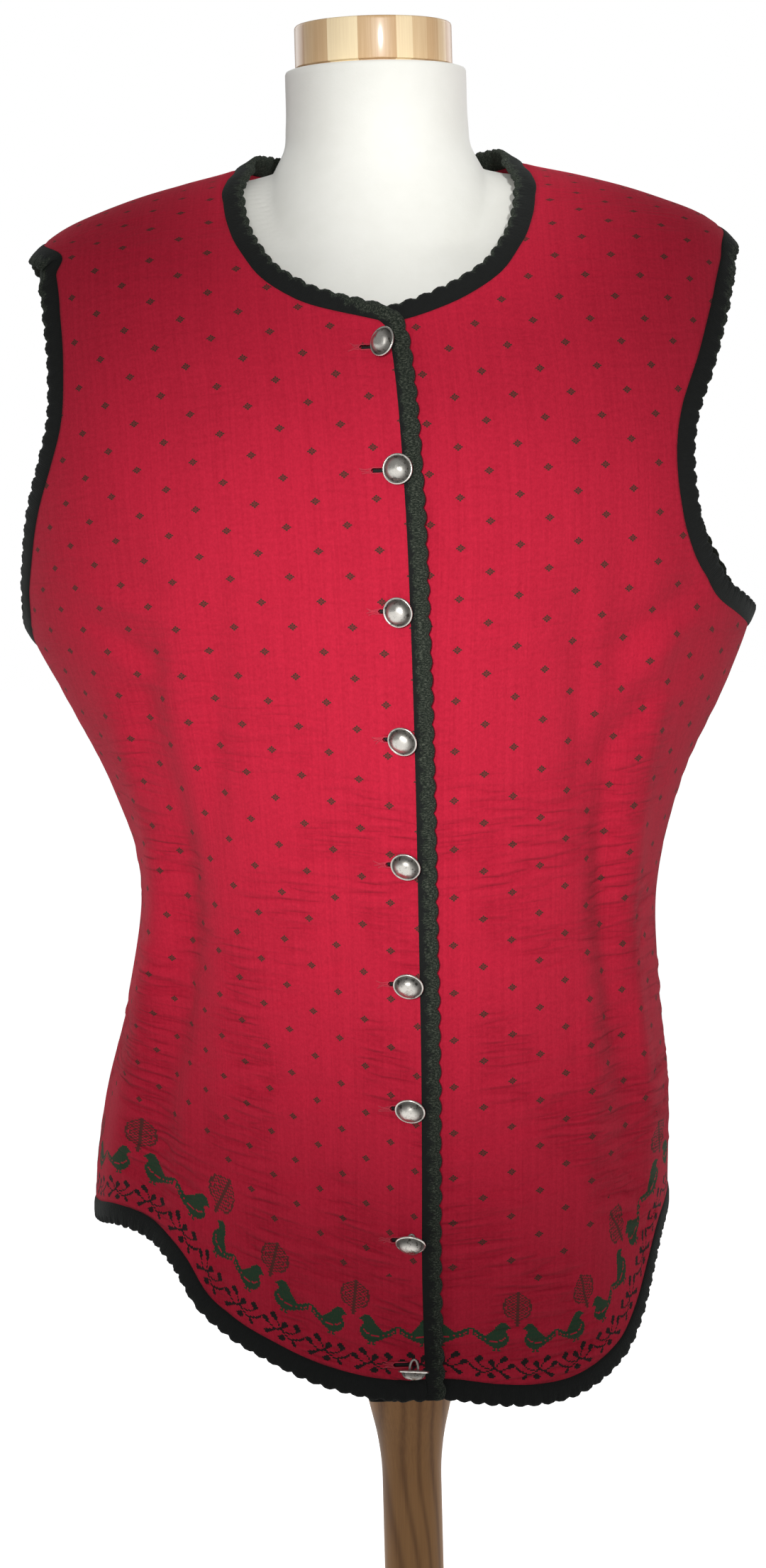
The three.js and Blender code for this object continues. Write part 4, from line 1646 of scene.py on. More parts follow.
def relief(p: Array, angle: Array, z: Array) -> Array:
    """How far the small creases and ripples push the cloth out.

    Args:
        p: The cloth's points.
        angle: Their degrees from the centre front.
        z: Their heights.

    Returns:
        The distances outwards.
    """
    out = np.zeros(p.shape[:-1])
    faces_front = np.cos(np.radians(angle)) > 0
    for creases, there in ((CREASES_FRONT, faces_front), (CREASES_BACK, ~faces_front)):
        for c in creases:
            start, way = np.array((c.x, c.z)), np.array((c.to_x - c.x, c.to_z - c.z))
            from_start = p[..., (0, 2)] - start
            t = np.clip((from_start @ way) / (way @ way), 0, 1)
            off = from_start - t[..., None] * way
            away = (off * off).sum(axis=-1) / c.width**2
            out += there * c.depth * np.exp(-away) * np.sin(np.pi * (0.12 + 0.76 * t))
    return out + ripples(angle, z)


def ripples(angle: Array, z: Array) -> Array:
    """The jersey's crossways ripples: fine valleys with low swells between them.

    Args:
        angle: Degrees from the centre front.
        z: Heights.

    Returns:
        The distances outwards.
    """
    body_radius = 190
    rng = np.random.default_rng(11)
    across = np.radians(angle) * body_radius

    def field(lengths: tuple[float, float], spreads: tuple[float, float], count: int) -> Array:
        """A sum of crossed waves, with their least and greatest lengths up and across."""
        out = np.zeros_like(z)
        for _ in range(count):
            length, spread = rng.uniform(*lengths), rng.uniform(*spreads)
            tilt, (a, b) = rng.normal(0, 0.12), rng.uniform(0, 2 * np.pi, 2)
            out += np.sin((z + tilt * across) * 2 * np.pi / length + a) * np.cos(
                across * 2 * np.pi / spread + b
            )
        return out * 2 / math.sqrt(count)

    valleys = np.exp(-((field((22, 46), (110, 300), 10) / 0.42) ** 2))
    swells = field((12, 26), (60, 160), 12)
    here = smooth((field((90, 200), (90, 200), 6) + 0.7) / 1.4)
    low = smooth((930 - z) / 240)
    return here * (mix(0.08, 0.36, low) * swells - mix(0.2, 1.25, low) * valleys)


# ---- Edging ----


@dataclass
class Edging:
    """A length of knitted edging sewn round an edge.

    Attributes:
        name: The piece's name.
        replaces: The CAD nodes that it stands for.
        side: The panel that it is sewn to.
        edge: The edge that it follows.
        width: Its width at shares of its length.
        green: How far from the cloth its green side starts, at shares of its length.
        flare: How far it leans out for each millimetre of its width, at shares of its length.
        thick: Half its thickness.
        overlap: How far it grips the cloth.
        pitch: Length of a scallop.
        depth: Depth of a scallop.
        crown: The power that rounds a scallop and the section's thickness, less for fuller.
        flat: The same for the section's width.
        end: Length over which it thins at its two ends.
        step: Length of a face along it.
        sides: Faces round its section.
    """

    name: str
    replaces: tuple[str, ...]
    side: Side
    edge: Edge
    width: Profile
    green: Profile
    flare: Profile
    pitch: float = 10.0
    thick: float = 2.15
    overlap: float = 0.7
    depth: float = 2.0
    crown: float = 0.8
    flat: float = 0.72
    end: float = 1.2
    step: float = 0.95
    sides: int = 14

    def build(self, material: Material) -> bpy.types.Object:
        """Sweeps the section along the edge.

        Args:
            material: The edging's finish.

        Returns:
            The piece.
        """
        line, along = self.edge.evenly(self.step)
        count = len(along) - 1
        share = along / along[-1]
        width, flare = self.width(share), self.flare(share)
        lobe = np.abs(np.sin(np.pi * along / self.pitch)) ** self.crown
        uneven = 0.85 + 0.25 * np.sin(along * 0.19) * np.sin(along * 0.083 + 1)
        ends = smooth(np.minimum(along, along[-1] - along) / self.end)

        def place(x: Array, y: Array) -> Array:
            """The band's points at shares along it and round its section."""
            i = np.rint(x * count).astype(int)
            turn = 2 * np.pi * y
            middle, half = (width[i] - self.overlap) / 2, (width[i] + self.overlap) / 2
            c, s = np.cos(turn), np.sin(turn)
            w = middle - half * np.sign(c) * np.abs(c) ** self.flat
            h = self.thick * np.sign(s) * np.abs(s) ** self.crown * mix(0.93, 1.0, ends[i])
            outer = smooth((w / width[i] - 0.5) / 0.5)
            w = w + outer * (lobe[i] - 0.6) * self.depth * uneven[i]
            h = h * (1 - 0.4 * outer * (1 - lobe[i])) + 0.3 * outer * np.sin(along[i] * 1.9)
            lift = (h - WALL / 2 + flare[i] * np.maximum(w, 0))[:, None]
            return line.points[i] + line.outward[i] * w[:, None] + line.normals[i] * lift

        def chart(x: Array, y: Array) -> Array:
            """The UV map: the length, with 10 mm for each scallop, and the way round."""
            i = np.rint(x * count).astype(int)
            around = y * 2 * (width[i] + self.overlap)
            return np.stack((along[i] * 10 / self.pitch, around), axis=1) * MM

        bm = Shell(count, self.sides, closed=True).bend(place, {"knit": chart})
        piece = finished(bm, self.name, [material], self.replaces)
        self.mark_green(piece, line, share)
        piece["panel"] = self.side.value
        return piece

    def mark_green(self, piece: bpy.types.Object, line: Edge, share: Array) -> None:
        """Writes at each point how far from the cloth the green starts.

        Args:
            piece: The edging.
            line: The line that it was swept along.
            share: The share of its length at each of the line's points.
        """
        mesh = piece.data
        co = np.zeros(len(mesh.vertices) * 3)
        mesh.vertices.foreach_get("co", co)
        co = co.reshape(-1, 3) / MM
        green = self.green(share)
        values = np.zeros(len(co))
        for chunk in np.array_split(np.arange(len(co)), max(len(co) // CHUNK, 1)):
            near = np.linalg.norm(co[chunk, None] - line.points[None, ::4], axis=2).argmin(axis=1)
            values[chunk] = green[::4][near]
        attribute = mesh.attributes.new("green", "FLOAT", "POINT")
        attribute.data.foreach_set("value", values)


def level_at(*stops: tuple[float, float]) -> Profile:
    """A number that changes smoothly along an edging, from stops of share and value."""
    places, values = zip(*stops)
    return lambda share: np.interp(share, places, values)


# ---- Buttons ----


class Pose(NamedTuple):
    """How a button hangs.

    Attributes:
        z: Its height.
        aside: How far it sits to the wearer's left of its row.
        turn: Degrees that it has turned to the wearer's right.
        droop: Degrees that it has drooped.
        reach: How far its back stands off the left front's cloth.
    """

    z: float
    aside: float
    turn: float
    droop: float
    reach: float


BUTTONS = (
    Pose(1146.5, 2.5, 42, 0, 12.5),
    Pose(1074.0, 3.8, 16, 4, 9.8),
    Pose(991.5, 0, 22, 8, 10.5),
    Pose(915.0, 0, 22, 15, 11.0),
    Pose(839.0, 0, 18, 24, 12.2),
    Pose(766.0, 0, 12, 32, 13.2),
    Pose(690.5, 0, 12, 36, 13.6),
    Pose(611.0, 0, 8, 50, 15.0),
    Pose(535.0, 0, 4, 78, 17.0),
)


class Seat(NamedTuple):
    """Where a button goes through the fronts."""

    point: Vector
    normal: Vector
    across: Vector
    up: Vector

    def matrix(self, lift: float = 0.0) -> Matrix:
        """From a button's own axes, with +Z out of the cloth and +X across it, to the model's."""
        spot = self.point + self.normal * lift
        return Matrix((*zip(self.across, self.up, self.normal, spot), (0, 0, 0, 1)))


def button_seat(worn: Worn, z: float, inset: float = 7.0) -> Seat:
    """The seat of a button.

    Args:
        worn: The cardigan's surface.
        z: The button's height.
        inset: How far it sits inside the right front's edge.

    Returns:
        The seat.
    """
    depth = float(BODY.read("front", z) + BODY.read("widest", z))
    turn = math.degrees(math.atan2(float(FRONT_EDGE.read("x", z)) - inset, depth))
    angle, level = np.array([turn]), np.array([z])
    n = Vector(worn.normal(angle, level)[0])
    across = (Vector((1, 0, 0)) - n * n.x).normalized()
    return Seat(Vector(worn.point(angle, level)[0]), n, across, n.cross(across).normalized())


@dataclass
class Button:
    """A domed pewter button on its shank.

    Attributes:
        number: Its place from the top.
        pose: How it hangs.
        seat: Where it is sewn.
        radius: The rim's radius.
        groove: Distance from the rim to the groove round the dome.
        face_z: Height on the head where its front starts.
        loop_span: Half the shank loop's width.
        loop_top: Height on the head where the loop goes in.
        wire: Half the loop's thickness.
    """

    number: int
    pose: Pose
    seat: Seat
    radius: float = 9.4
    groove: float = 1.55
    face_z: float = 1.9
    loop_span: float = 2.5
    loop_top: float = 1.6
    wire: float = 0.8

    def head(self) -> Mesh:
        """The head, turned from its profile and then dented a little."""
        r = self.radius
        profile = [
            (0, 1.3), (2.5, 1.15), (6.4, 0.9), (r - 0.6, 1.2), (r - 0.15, 1.45), (r, 1.85),
            (r - 0.12, 2.3), (r - 0.5, 2.62), (r - 0.95, 2.6), (r - 1.25, 2.3), (r - 1.5, 2.15),
            (r - 1.8, 2.45), (r - 2.1, 3.2), (r - 2.6, 4.2), (r - 3.5, 5.35), (r - 4.7, 6.3),
            (r - 6.2, 6.95), (r - 7.8, 7.3), (0, 7.4),
        ]
        bm = turned(profile, 40)
        rng = np.random.default_rng(40 + self.number)
        ranges = ((0, 2 * np.pi), (2, 7.5), (1.6, 3.2), (0.1, 0.3))
        dents = [[rng.uniform(low, high) for low, high in ranges] for _ in range(9)]
        for vert in bm.verts:
            if vert.co.z < 2.5:
                continue
            for turn, out, size, depth in dents:
                dx, dy = vert.co.x - out * math.cos(turn), vert.co.y - out * math.sin(turn)
                vert.co.z -= depth * math.exp(-(dx * dx + dy * dy) / size**2)
        return bm

    def shank(self) -> Mesh:
        """The wire loop under the head, down to the cloth."""
        tall = self.loop_top + min(self.pose.reach - 6.5, 5.2)

        def place(x: Array, y: Array) -> Array:
            """The wire's points at shares along the loop and round it."""
            a, b = np.pi * x, 2 * np.pi * y
            drop = self.loop_top - tall * np.sin(a) ** 0.8
            centre = np.stack((self.loop_span * np.cos(a), 0 * a, drop), axis=1)
            inward = np.stack((np.cos(a), 0 * a, -np.sin(a)), axis=1)
            side = np.stack((0 * a, 1 + 0 * a, 0 * a), axis=1)
            return centre + self.wire * (inward * np.cos(b)[:, None] + side * np.sin(b)[:, None])

        return Shell(14, 8, closed=True).bend(place)

    def tarnish_and_shade(self, out: float, z: float) -> float:
        """How dark the metal is made, from 0 to 1: tarnish, and painted shade.

        Args:
            out: Distance from the button's axis.
            z: Height over its back.

        Returns:
            Tarnish most in the groove; inside it, painted shade that grows towards the dome's foot;
            half as dark on the back and the shank.
        """
        if z <= 1.25:
            return 0.5
        if z <= self.face_z:
            return 0.0
        groove = math.exp(-(((out - (self.radius - self.groove)) / 0.55) ** 2))
        # Painted shade: the dome darkens towards its foot.
        if out < self.radius - self.groove:
            return max(groove, 0.95 * float(smooth((out - 3.4) / 4.0)))
        return groove

    def build(self, metal: Material) -> bpy.types.Object:
        """Makes the button and sets it in its place.

        Args:
            metal: Its finish.

        Returns:
            The piece.
        """
        bm = self.head()
        add_shape(bm, self.shank())
        # Each point's share of tarnish and painted shade.
        hollow = bm.verts.layers.float.new("hollow")
        for vert in bm.verts:
            vert[hollow] = self.tarnish_and_shade(math.hypot(vert.co.x, vert.co.y), vert.co.z)
        hang = (
            Matrix.Rotation(math.radians(self.pose.droop), 4, "X")
            @ Matrix.Rotation(-math.radians(self.pose.turn), 4, "Y")
        )
        own = Matrix.Translation((self.pose.aside, 0, 0)) @ hang
        bmesh.ops.transform(bm, matrix=self.seat.matrix(self.pose.reach) @ own, verts=bm.verts)
        name = f"button_{self.number}"
        return finished(bm, f"domed_{name}", [metal], [name])


# ---- The dress form ----

FIGURE = Table("z half front back widest", [
    (640, 146, 88, 88, 10),
    (690, 156, 98, 92, 12),
    (760, 152, 98, 84, 16),
    (830, 143, 98, 78, 20),
    (900, 152, 108, 82, 20),
    (970, 166, 120, 90, 18),
    (1030, 174, 127, 94, 14),
    (1090, 177, 122, 96, 10),
    (1150, 181, 110, 96, 8),
    (1200, 187, 92, 94, 8),
    (1235, 191, 80, 92, 8),
    (1323, 191, 80, 92, 8),
])
STAVES = (
    (-180, 0.50), (-158, 0.30), (-136, 0.65), (-112, 0.40), (-88, 0.80), (-61, 0.52), (-35.5, 0.02),
    (-12, 0.64), (15.5, 0.16), (29, 0.50), (42, 0.66), (54, 0.45), (66, 0.85), (90, 0.50),
    (112, 0.30), (134, 0.60), (157, 0.42),
)
NECK_COLUMN = Table("z half front back", [
    (1060, 50, 40, 50),
    (1130, 90, 84, 70),
    (1160, 100, 95, 76),
    (1180, 98, 91, 76),
    (1200, 93, 84, 75),
    (1220, 87, 76, 74),
    (1235, 81, 69, 73),
    (1248, 75, 63, 71),
    (1258, 69.5, 58, 69),
    (1268, 64, 54, 67),
    (1278, 59, 51.5, 65.5),
    (1292, 57.5, 50, 64.5),
    (1323, 57, 50, 64),
])


@dataclass
class DressForm:
    """The limbless form: a cloth torso with a neck, a wooden cap, a turned pole and a base.

    Attributes:
        worn: The cardigan's surface, which the torso stays inside.
        neck_y: The y of the neck's widest line.
        cap_middle: The cap's axis.
        bottom: The torso's underside.
        top: The neck's flat top.
        front_clear: Room between the torso and the cardigan's outer face in front.
        back_clear: The same behind.
        lift: How far the torso's shape follows the cardigan from above.
        seat_end: Distance under the neck's edge where the torso starts to fall away.
        seat_fall: How fast it falls away.
        figure_power: The torso's outline power.
        torso_blend: How softly the torso stays inside the cardigan.
        neck_blend: How softly the neck grows out of the torso.
        gap: Room between the pieces of the form.
        cap_tall: Height of the wooden cap.
        cap_radius: Its radius.
        pole_radius: Half the pole's thickness.
        socket_radius: Half the thickness of its two ends.
        base_radius: The base's radius.
        base_tall: The base's height.
    """

    worn: Worn
    neck_y: float = 8.0
    cap_middle: tuple[float, float] = (-1.0, 8.0)
    bottom: float = 640.0
    top: float = 1327.0
    front_clear: float = 5.5
    back_clear: float = 5.0
    lift: float = 3.5
    seat_end: float = 11.0
    seat_fall: float = 4.0
    figure_power: float = 2.2
    torso_blend: float = 5.0
    neck_blend: float = 6.0
    gap: float = 0.3
    cap_tall: float = 28.0
    cap_radius: float = 49.5
    pole_radius: float = 19.0
    socket_radius: float = 34.0
    base_radius: float = 200.0
    base_tall: float = 26.0

    def radius(self, angle: Array, z: Array) -> Array:
        """Distance from the form's middle line to its surface.

        Args:
            angle: Degrees from the centre front.
            z: Heights.

        Returns:
            The distances.
        """
        a = np.radians(angle)
        front = np.cos(a) > 0
        turn = np.where(angle > 180, 360 - angle, np.abs(angle))

        def depth(rows: Table, middle: Array | float) -> Array:
            """A slice's reach from its widest line to the front or the back."""
            return np.where(front, rows.read("front", z) + middle, rows.read("back", z) - middle)

        def less(p: Array, q: Array, k: float) -> Array:
            """The lesser of two numbers, rounded where they are within k of each other."""
            t = np.clip(0.5 + (q - p) / (2 * k), 0, 1)
            return mix(q, p, t) - k * t * (1 - t)

        reach = depth(FIGURE, FIGURE.read("widest", z))
        figure = outline(angle, FIGURE.read("half", z), reach, self.figure_power)
        clear = np.abs(np.cos(a)) * np.where(front, self.front_clear, self.back_clear)
        seat_top = NECK.read("z", turn) - self.seat_end
        fall = self.seat_fall * np.sin(a) ** 4 * np.maximum(z - seat_top, 0)
        cover = np.minimum(
            self.worn.radius(angle, z + self.lift), self.worn.radius(-angle, z + self.lift)
        )
        torso = less(cover - clear - fall, figure, self.torso_blend)
        neck = outline(angle, NECK_COLUMN.read("half", z), depth(NECK_COLUMN, self.neck_y), 2)
        return -less(-torso, -neck, self.neck_blend)

    def torso(self) -> Mesh:
        """The torso and neck."""
        rows = np.concatenate((
            [self.bottom, self.bottom + 2, self.bottom + 7], np.linspace(655, 1140, 66),
            np.linspace(1144, self.top - 2, 66), [self.top - 0.6, self.top],
        ))
        inset = np.zeros(len(rows))
        inset[:3], inset[-2:] = (10, 5, 1), (0.6, 2.2)

        def place(x: Array, y: Array) -> Array:
            """The form's points at shares up it and round it."""
            i = np.rint(x * (len(rows) - 1)).astype(int)
            angle, z = 360 * y, rows[i]
            radius = self.radius(angle, z) - inset[i]
            a = np.radians(angle)
            middle = FIGURE.read("widest", z)
            return np.stack((radius * np.sin(a), middle - radius * np.cos(a), z), axis=1)

        return Shell(len(rows) - 1, 144, closed=True).bend(place)

    def build(self) -> None:
        """Makes the form's four pieces."""
        cloth = BrushedCloth().material()
        torso = finished(self.torso(), "cloth_torso", [cloth], ["form_torso"])
        staves = Wood(
            "lacquered_staves", pale=(0.95, 0.78, 0.50), dark=(0.42, 0.19, 0.055), rough=0.36,
            coat=0.2, staves=STAVES, middle=self.cap_middle,
        )
        finished(self.cap(), "turned_cap", [staves.material()], ["form_cap"])
        pine = Wood(
            "satin_pine", pale=(0.40, 0.20, 0.068), dark=(0.15, 0.062, 0.018), rough=0.5, coat=0.0
        ).material()
        finished(self.pole(), "turned_pole", [pine], ["stand_pole"])
        finished(self.base(), "round_base", [pine], ["stand_base"])

    def cap(self) -> Mesh:
        """The cap on the neck, undercut at its foot."""
        low, r, undercut = self.top + self.gap, self.cap_radius, self.cap_radius - 2.9
        high = low + self.cap_tall
        bm = turned(rounded([
            (0, low, 0), (undercut, low, 0.3), (undercut, low + 1.4, 0.3), (r, low + 1.7, 0.6),
            (r, high, 2.2), (0, high, 0),
        ], 6), 96)
        bmesh.ops.translate(bm, vec=(*self.cap_middle, 0), verts=bm.verts)
        return bm

    def pole(self) -> Mesh:
        """The turned pole, thick at its foot and where it goes up into the torso."""
        foot, head = self.base_tall + self.gap, self.bottom - self.gap
        r, end = self.pole_radius, self.socket_radius
        return turned(rounded([
            (0, foot, 0), (end, foot, 1.5), (end, foot + 14, 3), (25, foot + 26, 5),
            (r, foot + 44, 8), (r, 438, 9), (21.5, 458, 8), (26, 477, 8), (31, 500, 10),
            (end, 530, 12), (end, head, 1), (0, head, 0),
        ], 4), 64)

    def base(self) -> Mesh:
        """The round base, with a rounded upper edge."""
        r, tall = self.base_radius, self.base_tall
        return turned(rounded([(0, 0, 0), (r, 0, 2), (r, tall, 6), (0, tall, 0)], 5), 128)


# ---- The cardigan ----


@dataclass
class Cardigan:
    """The cardigan: three panels, their edging, nine buttons and their buttonholes.

    Attributes:
        worn: The surface that it lies on.
        hole_before: How far a buttonhole goes from its button towards the wearer's right.
        hole_after: The same towards the front edge.
        hole_half: Half its opening.
        ridge_inset: Distance from a shoulder seam to its ridge.
    """

    worn: Worn
    hole_before: float = 12.4
    hole_after: float = 3.2
    hole_half: float = 1.5
    ridge_inset: float = 4.0

    def build(self) -> None:
        """Makes every piece of the cardigan."""
        jersey = Jersey()
        inside = jersey.wrong_side()
        wool = Thread("crimson_thread", (0.70, 0.035, 0.075)).material()
        # The black thread darkens each buttonhole's slit: painted shadow.
        black_wool = Thread("black_thread", (0.016, 0.014, 0.013)).material()
        right = Panel(Side.RIGHT, self.worn, 112, 272, tree=47.0)
        left = Panel(Side.LEFT, self.worn, 116, 272, tree=80.5)
        back = Panel(Side.BACK, self.worn, 176, 232, tree=30.5)
        edging = self.edging(right, left, back)
        for panel, node, cut in (
            (right, "front_right", (0.33, 0.76, 0.17)), (left, "front_left", (0.33, 0.76, 0.17)),
            (back, "back", (0.60, 0.77, 0.34)),
        ):
            bm = panel.build()
            if panel is right:
                self.bind_holes(BVHTree.FromBMesh(bm), wool, black_wool)
                self.cut_holes(bm)
            if panel is not back:
                self.shoulder_ridge(panel, wool)
            cloth = jersey.material(f"jersey_{panel.side.value}", panel.tree)
            piece = finished(bm, f"{node}_jersey", [cloth, inside], [node])
            wall = piece.modifiers.new("wall", "SOLIDIFY")
            wall.thickness, wall.offset = WALL * MM, -1.0
            wall.material_offset = 1
            [trim for trim in edging if trim["panel"] == panel.side.value]
        metal = Pewter().material()
        for number, pose in enumerate(BUTTONS, 1):
            Button(number, pose, button_seat(self.worn, pose.z)).build(metal)

    def edging(self, right: Panel, left: Panel, back: Panel) -> list[bpy.types.Object]:
        """Makes the knitted edging of every edge.

        Args:
            right: The right front.
            left: The left front.
            back: The back.

        Returns:
            Its pieces.
        """
        lengths: list[Edging] = []
        unflared = level_at((0, 0))
        armhole = level_at((0, 0.1), (0.8, 0.1), (1, -0.05))
        for panel in (right, left):
            side = panel.side.value
            front = panel.edge_of("front")
            down = unit(front.points[0] - front.points[4])
            foot = Edge(front.points[:1] + 13 * down, front.normals[:1], front.outward[:1])
            start = Edge(*(np.concatenate((part[:1], part)) for part in front))
            whole = foot.joined(start).joined(panel.edge_of("neck"))
            if panel is right:
                green = level_at(
                    (0, 6.6), (0.3, 5.4), (0.6, 4.4), (0.76, 4.2), (0.8, 9.8), (0.9, 9), (1, 7.6)
                )
            else:
                green = level_at((0, 9), (0.76, 9), (0.8, 10.8), (0.9, 9.4), (1, 7.6))
            lengths.append(Edging(
                f"front_and_neck_edging_{side}", (f"front_band_{side}", f"neck_trim_{side}"),
                panel.side, whole, pitch=10.8, green=green,
                width=level_at((0, 11.2), (0.76, 11.2), (0.82, 13), (1, 13)),
                flare=level_at((0, 0), (0.84, 0), (1, 0.05)),
            ))
            lengths.append(Edging(
                f"hem_edging_{side}", (f"hem_trim_{side}",), panel.side, panel.edge_of("hem"),
                pitch=9.0, green=level_at((0, 14), (1, 13.6)), width=level_at((0, 13)),
                flare=unflared,
            ))
            lengths.append(Edging(
                f"armhole_edging_{side}_front", (f"armhole_trim_{side}_front",), panel.side,
                panel.edge_of("side"), pitch=10.6, flare=armhole,
                green=level_at((0, 13), (0.5, 12.2), (0.7, 10.4), (0.85, 8.2), (1, 7.6)),
                width=level_at((0, 12.5), (0.6, 13), (0.85, 15), (1, 13)),
            ))
        lengths.append(Edging(
            "neck_edging_back", ("neck_trim_back",), back.side, back.edge_of("neck"), pitch=10.6,
            green=level_at((0, 7.6)), width=level_at((0, 13), (0.15, 15), (0.85, 15), (1, 13)),
            flare=level_at((0, 0.05), (0.25, 0.2), (0.5, 0.3), (0.75, 0.2), (1, 0.05)),
        ))
        lengths.append(Edging(
            "hem_edging_back", ("hem_trim_back",), back.side, back.edge_of("hem"), pitch=9.0,
            green=level_at((0, 13.8)), width=level_at((0, 13)), flare=unflared,
        ))
        for which, side in (("start", "left"), ("end", "right")):
            lengths.append(Edging(
                f"armhole_edging_{side}_back", (f"armhole_trim_{side}_back",), back.side,
                back.edge_of(which), pitch=10.6, green=level_at((0, 12.6), (1, 7.6)),
                width=level_at((0, 12.5), (0.8, 13), (1, 13)), flare=armhole,
            ))
        yarn = EdgingYarn().material()
        return [length.build(yarn) for length in lengths]

    def bind_holes(
        self, cloth: BVHTree, wool: Material, black_wool: Material
    ) -> None:
        """Sews worn stitches round each buttonhole's outer end, and lays black thread in its slit
        as painted shadow.

        Args:
            cloth: The right front's surface, before its holes are cut.
            wool: The stitches' finish.
            black_wool: The finish of the black thread in each slit, which stands in for the slit's
                shadow.
        """
        rng = np.random.default_rng(5)
        stitches, threads = bmesh.new(), bmesh.new()
        end, half = -self.hole_before, self.hole_half
        for pose in BUTTONS:
            seat = button_seat(self.worn, pose.z)

            def sewn(
                corners: Sequence[tuple[float, float]], proud: float = 0.2, seat: Seat = seat
            ) -> Array:
                """A thread's points over the cloth, from its corners as seen on the seat."""
                t = np.linspace(0, len(corners) - 1, 5 * len(corners))
                flat = [np.interp(t, range(len(corners)), part) for part in zip(*corners)]
                line = []
                for x, y in zip(*flat):
                    above = seat.point + seat.across * x + seat.up * y + seat.normal * 20
                    line.append(cloth.ray_cast(above, -seat.normal)[0] + seat.normal * proud)
                return np.array(line)

            beside = half + 0.2
            add_shape(stitches, strand(sewn([
                (end + 9, beside), (end + 1, beside), (end - 0.7, 0), (end + 1, -beside),
                (end + 9, -beside),
            ]), 0.42))
            # A black thread sunk into the slit from its end to the button: painted shadow in the
            # buttonhole.
            slit_shadow_line = sewn([(end + 1.2, 0.1), (end + 3, -0.1), (-1, 0)], -2.1)
            add_shape(threads, strand(slit_shadow_line, 1.35))
            for way in (-1, -0.25, 0.45, 1):
                reach = rng.uniform(4.0, 7.5)
                tip = way * rng.uniform(1.4, 2.4) + rng.uniform(-0.5, 0.5)
                add_shape(stitches, strand(sewn([
                    (end + 0.4, way * half), (end - reach / 2, way * 0.9 + rng.uniform(-0.5, 0.5)),
                    (end - reach, tip),
                ]), 0.36))
        finished(stitches, "buttonhole_stitches", [wool])
        # The black threads in the slits: painted shadow.
        finished(threads, "slit_shadow_threads", [black_wool])

    def shoulder_ridge(self, panel: Panel, wool: Material) -> None:
        """Raises the fine ridge of the seam allowance beside a front's shoulder seam.

        Args:
            panel: The front.
            wool: The ridge's finish.
        """
        z = np.linspace(SHOULDER_TIP_Z + 0.1, NECK_POINT_Z - 0.2, 64)
        share = 1 - self.ridge_inset / panel.arcs(np.ones_like(z), z)[0]
        points, normals = panel.surface(share, z)
        bm = strand(points - 0.15 * normals, 0.7)
        finished(bm, f"shoulder_ridge_{panel.side.value}", [wool])

    def cut_holes(self, bm: Mesh) -> None:
        """Cuts the nine buttonholes through the right front."""
        for pose in BUTTONS:
            seat = button_seat(self.worn, pose.z)
            centre = seat.point + seat.normal * 6
            near = [f for f in bm.faces if (f.calc_center_median() - centre).length < 19]
            for axis, offset in (
                (seat.across, -self.hole_before), (seat.across, self.hole_after),
                (seat.up, -self.hole_half), (seat.up, self.hole_half),
            ):
                geom = set(near)
                for face in near:
                    geom.update(face.edges, face.verts)
                cut = bmesh.ops.bisect_plane(
                    bm, geom=list(geom), dist=1e-4, plane_co=centre + axis * offset, plane_no=axis
                )
                near = [g for g in cut["geom"] if isinstance(g, bmesh.types.BMFace)]
            gone = []
            for face in near:
                off = face.calc_center_median() - centre
                inside = -self.hole_before < off.dot(seat.across) < self.hole_after
                if inside and abs(off.dot(seat.up)) < self.hole_half:
                    gone.append(face)
            bmesh.ops.delete(bm, geom=gone, context="FACES")


# ---- The studio ----


class Lamp(NamedTuple):
    """A soft square lamp, or a spotlight where it has a cone.

    Attributes:
        name: Its name.
        at: Where it stands, in metres.
        aim: What it faces.
        size: The square's side, or the spotlight's radius.
        power: Its watts.
        cone: The spotlight's whole cone, in degrees.
    """

    name: str
    at: Point
    aim: Point
    size: float
    power: float
    cone: float = 0.0

    def hang(self) -> None:
        """Puts the lamp in the scene."""
        data = bpy.data.lights.new(self.name, "SPOT" if self.cone else "AREA")
        data.energy = self.power
        if self.cone:
            data.shadow_soft_size = self.size
            data.spot_size, data.spot_blend = math.radians(self.cone), 1.0
        else:
            data.shape, data.size = "SQUARE", self.size
        lamp = bpy.data.objects.new(self.name, data)
        lamp.location = self.at
        lamp.rotation_mode = "QUATERNION"
        lamp.rotation_quaternion = (Vector(self.aim) - Vector(self.at)).to_track_quat("-Z", "Y")
        bpy.context.scene.collection.objects.link(lamp)


LAMPS = (
    Lamp("key", (-0.2, -2.25, 1.16), (0.02, 0, 0.91), 0.13, 172, 18.8),
    Lamp("snoot", (0.3, -1.6, 1.55), (0.03, -0.04, 1.30), 0.06, 84, 11.5),
    Lamp("front", (0.5, -2.6, 1.9), (0, 0, 1.15), 1.2, 3),
    Lamp("back_left", (1.6, 2.0, 1.7), (0, 0, 0.95), 1.4, 16),
    Lamp("back_right", (-1.6, 2.0, 1.7), (0, 0, 0.95), 1.4, 16),
)


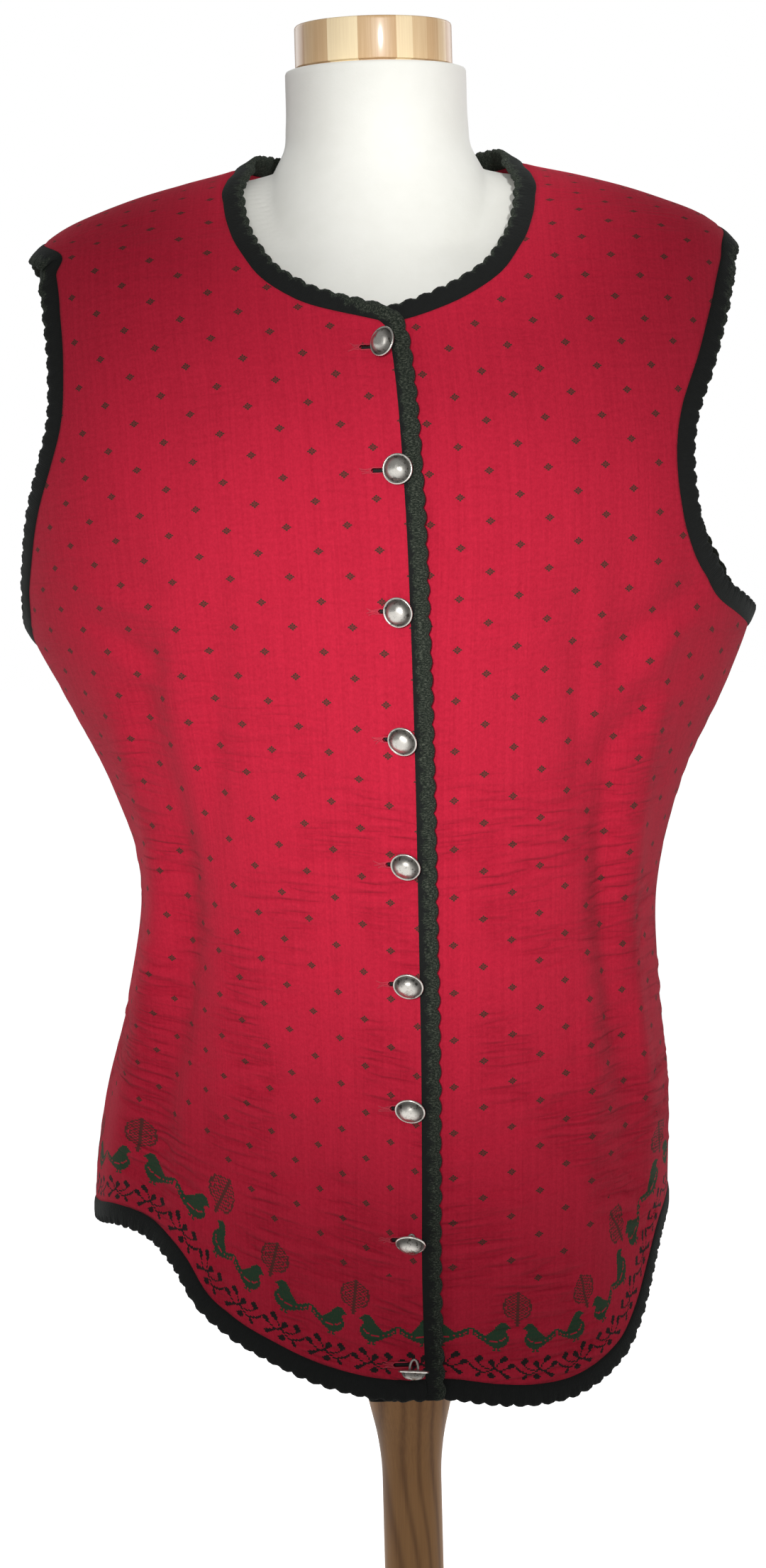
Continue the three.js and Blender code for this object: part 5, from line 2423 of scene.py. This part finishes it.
@dataclass
class Studio:
    """A pale floor, soft lights and the camera.

    Attributes:
        camera_at: Where the camera stands, in metres.
        tilt: Degrees that it looks down.
        roll: Degrees that it leans.
        focal: Its focal length, as a share of the picture's longer side.
        sensor: The sensor's longer side.
        glow: How strongly the floor shines.
        ambient: How strongly the white round about lights the pieces.
    """

    camera_at: Point = (-0.007, -2.3, 1.051)
    tilt: float = 4.314
    roll: float = 1.5
    focal: float = 5111 / 2211
    sensor: float = 36.0
    glow: float = 0.76
    ambient: float = 0.32

    def camera(self) -> None:
        """Places the camera."""
        data = bpy.data.cameras.new("view")
        data.sensor_width = self.sensor
        data.lens = self.focal * self.sensor
        data.clip_end = 60
        eye = bpy.data.objects.new("view", data)
        turn = Matrix.Rotation(math.radians(90 - self.tilt), 4, "X")
        lean = Matrix.Rotation(-math.radians(self.roll), 4, "Z")
        eye.matrix_world = Matrix.Translation(self.camera_at) @ turn @ lean
        bpy.context.scene.collection.objects.link(eye)
        bpy.context.scene.camera = eye

    def floor(self) -> None:
        """Lays the floor."""
        bm = bmesh.new()
        bmesh.ops.create_grid(bm, x_segments=4, y_segments=4, size=20)
        mesh = bpy.data.meshes.new("floor")
        bm.to_mesh(mesh)
        bm.free()
        shade = Shade("pale_floor")
        tone = shade.noise(shade.spot(), 1.2)
        colour = shade.blend(tone, (0.93, 0.93, 0.93), (0.90, 0.90, 0.90))
        mesh.materials.append(shade.finish(
            colour, Roughness=0.9, Emission_Color=(1, 1, 1, 1), Emission_Strength=self.glow,
        ))
        floor = bpy.data.objects.new("floor", mesh)
        floor.visible_diffuse = False
        bpy.context.scene.collection.objects.link(floor)

    def build(self) -> None:
        """Sets up the whole studio."""
        self.camera()
        self.floor()
        for lamp in LAMPS:
            lamp.hang()
        self.world()

    def world(self) -> None:
        """Whitens the world: plain white to the camera, dimmer as a light."""
        world = bpy.data.worlds.new("studio")
        world.use_nodes = True
        nodes, links = world.node_tree.nodes, world.node_tree.links
        sky, path = nodes["Background"], nodes.new("ShaderNodeLightPath")
        power = nodes.new("ShaderNodeMapRange")
        sky.inputs["Color"].default_value = (1, 1, 1, 1)
        power.inputs["To Min"].default_value = self.ambient
        links.new(path.outputs["Is Camera Ray"], power.inputs["Value"])
        links.new(power.outputs["Result"], sky.inputs["Strength"])
        scene = bpy.context.scene
        scene.world = world
        scene.view_settings.view_transform = "Standard"


def main() -> None:
    """Builds the studio, the dress form and the cardigan."""
    logging.basicConfig(level=logging.INFO, format="%(message)s")
    Studio().build()
    worn = Worn()
    DressForm(worn).build()
    Cardigan(worn).build()


if __name__ == "__main__":
    main()
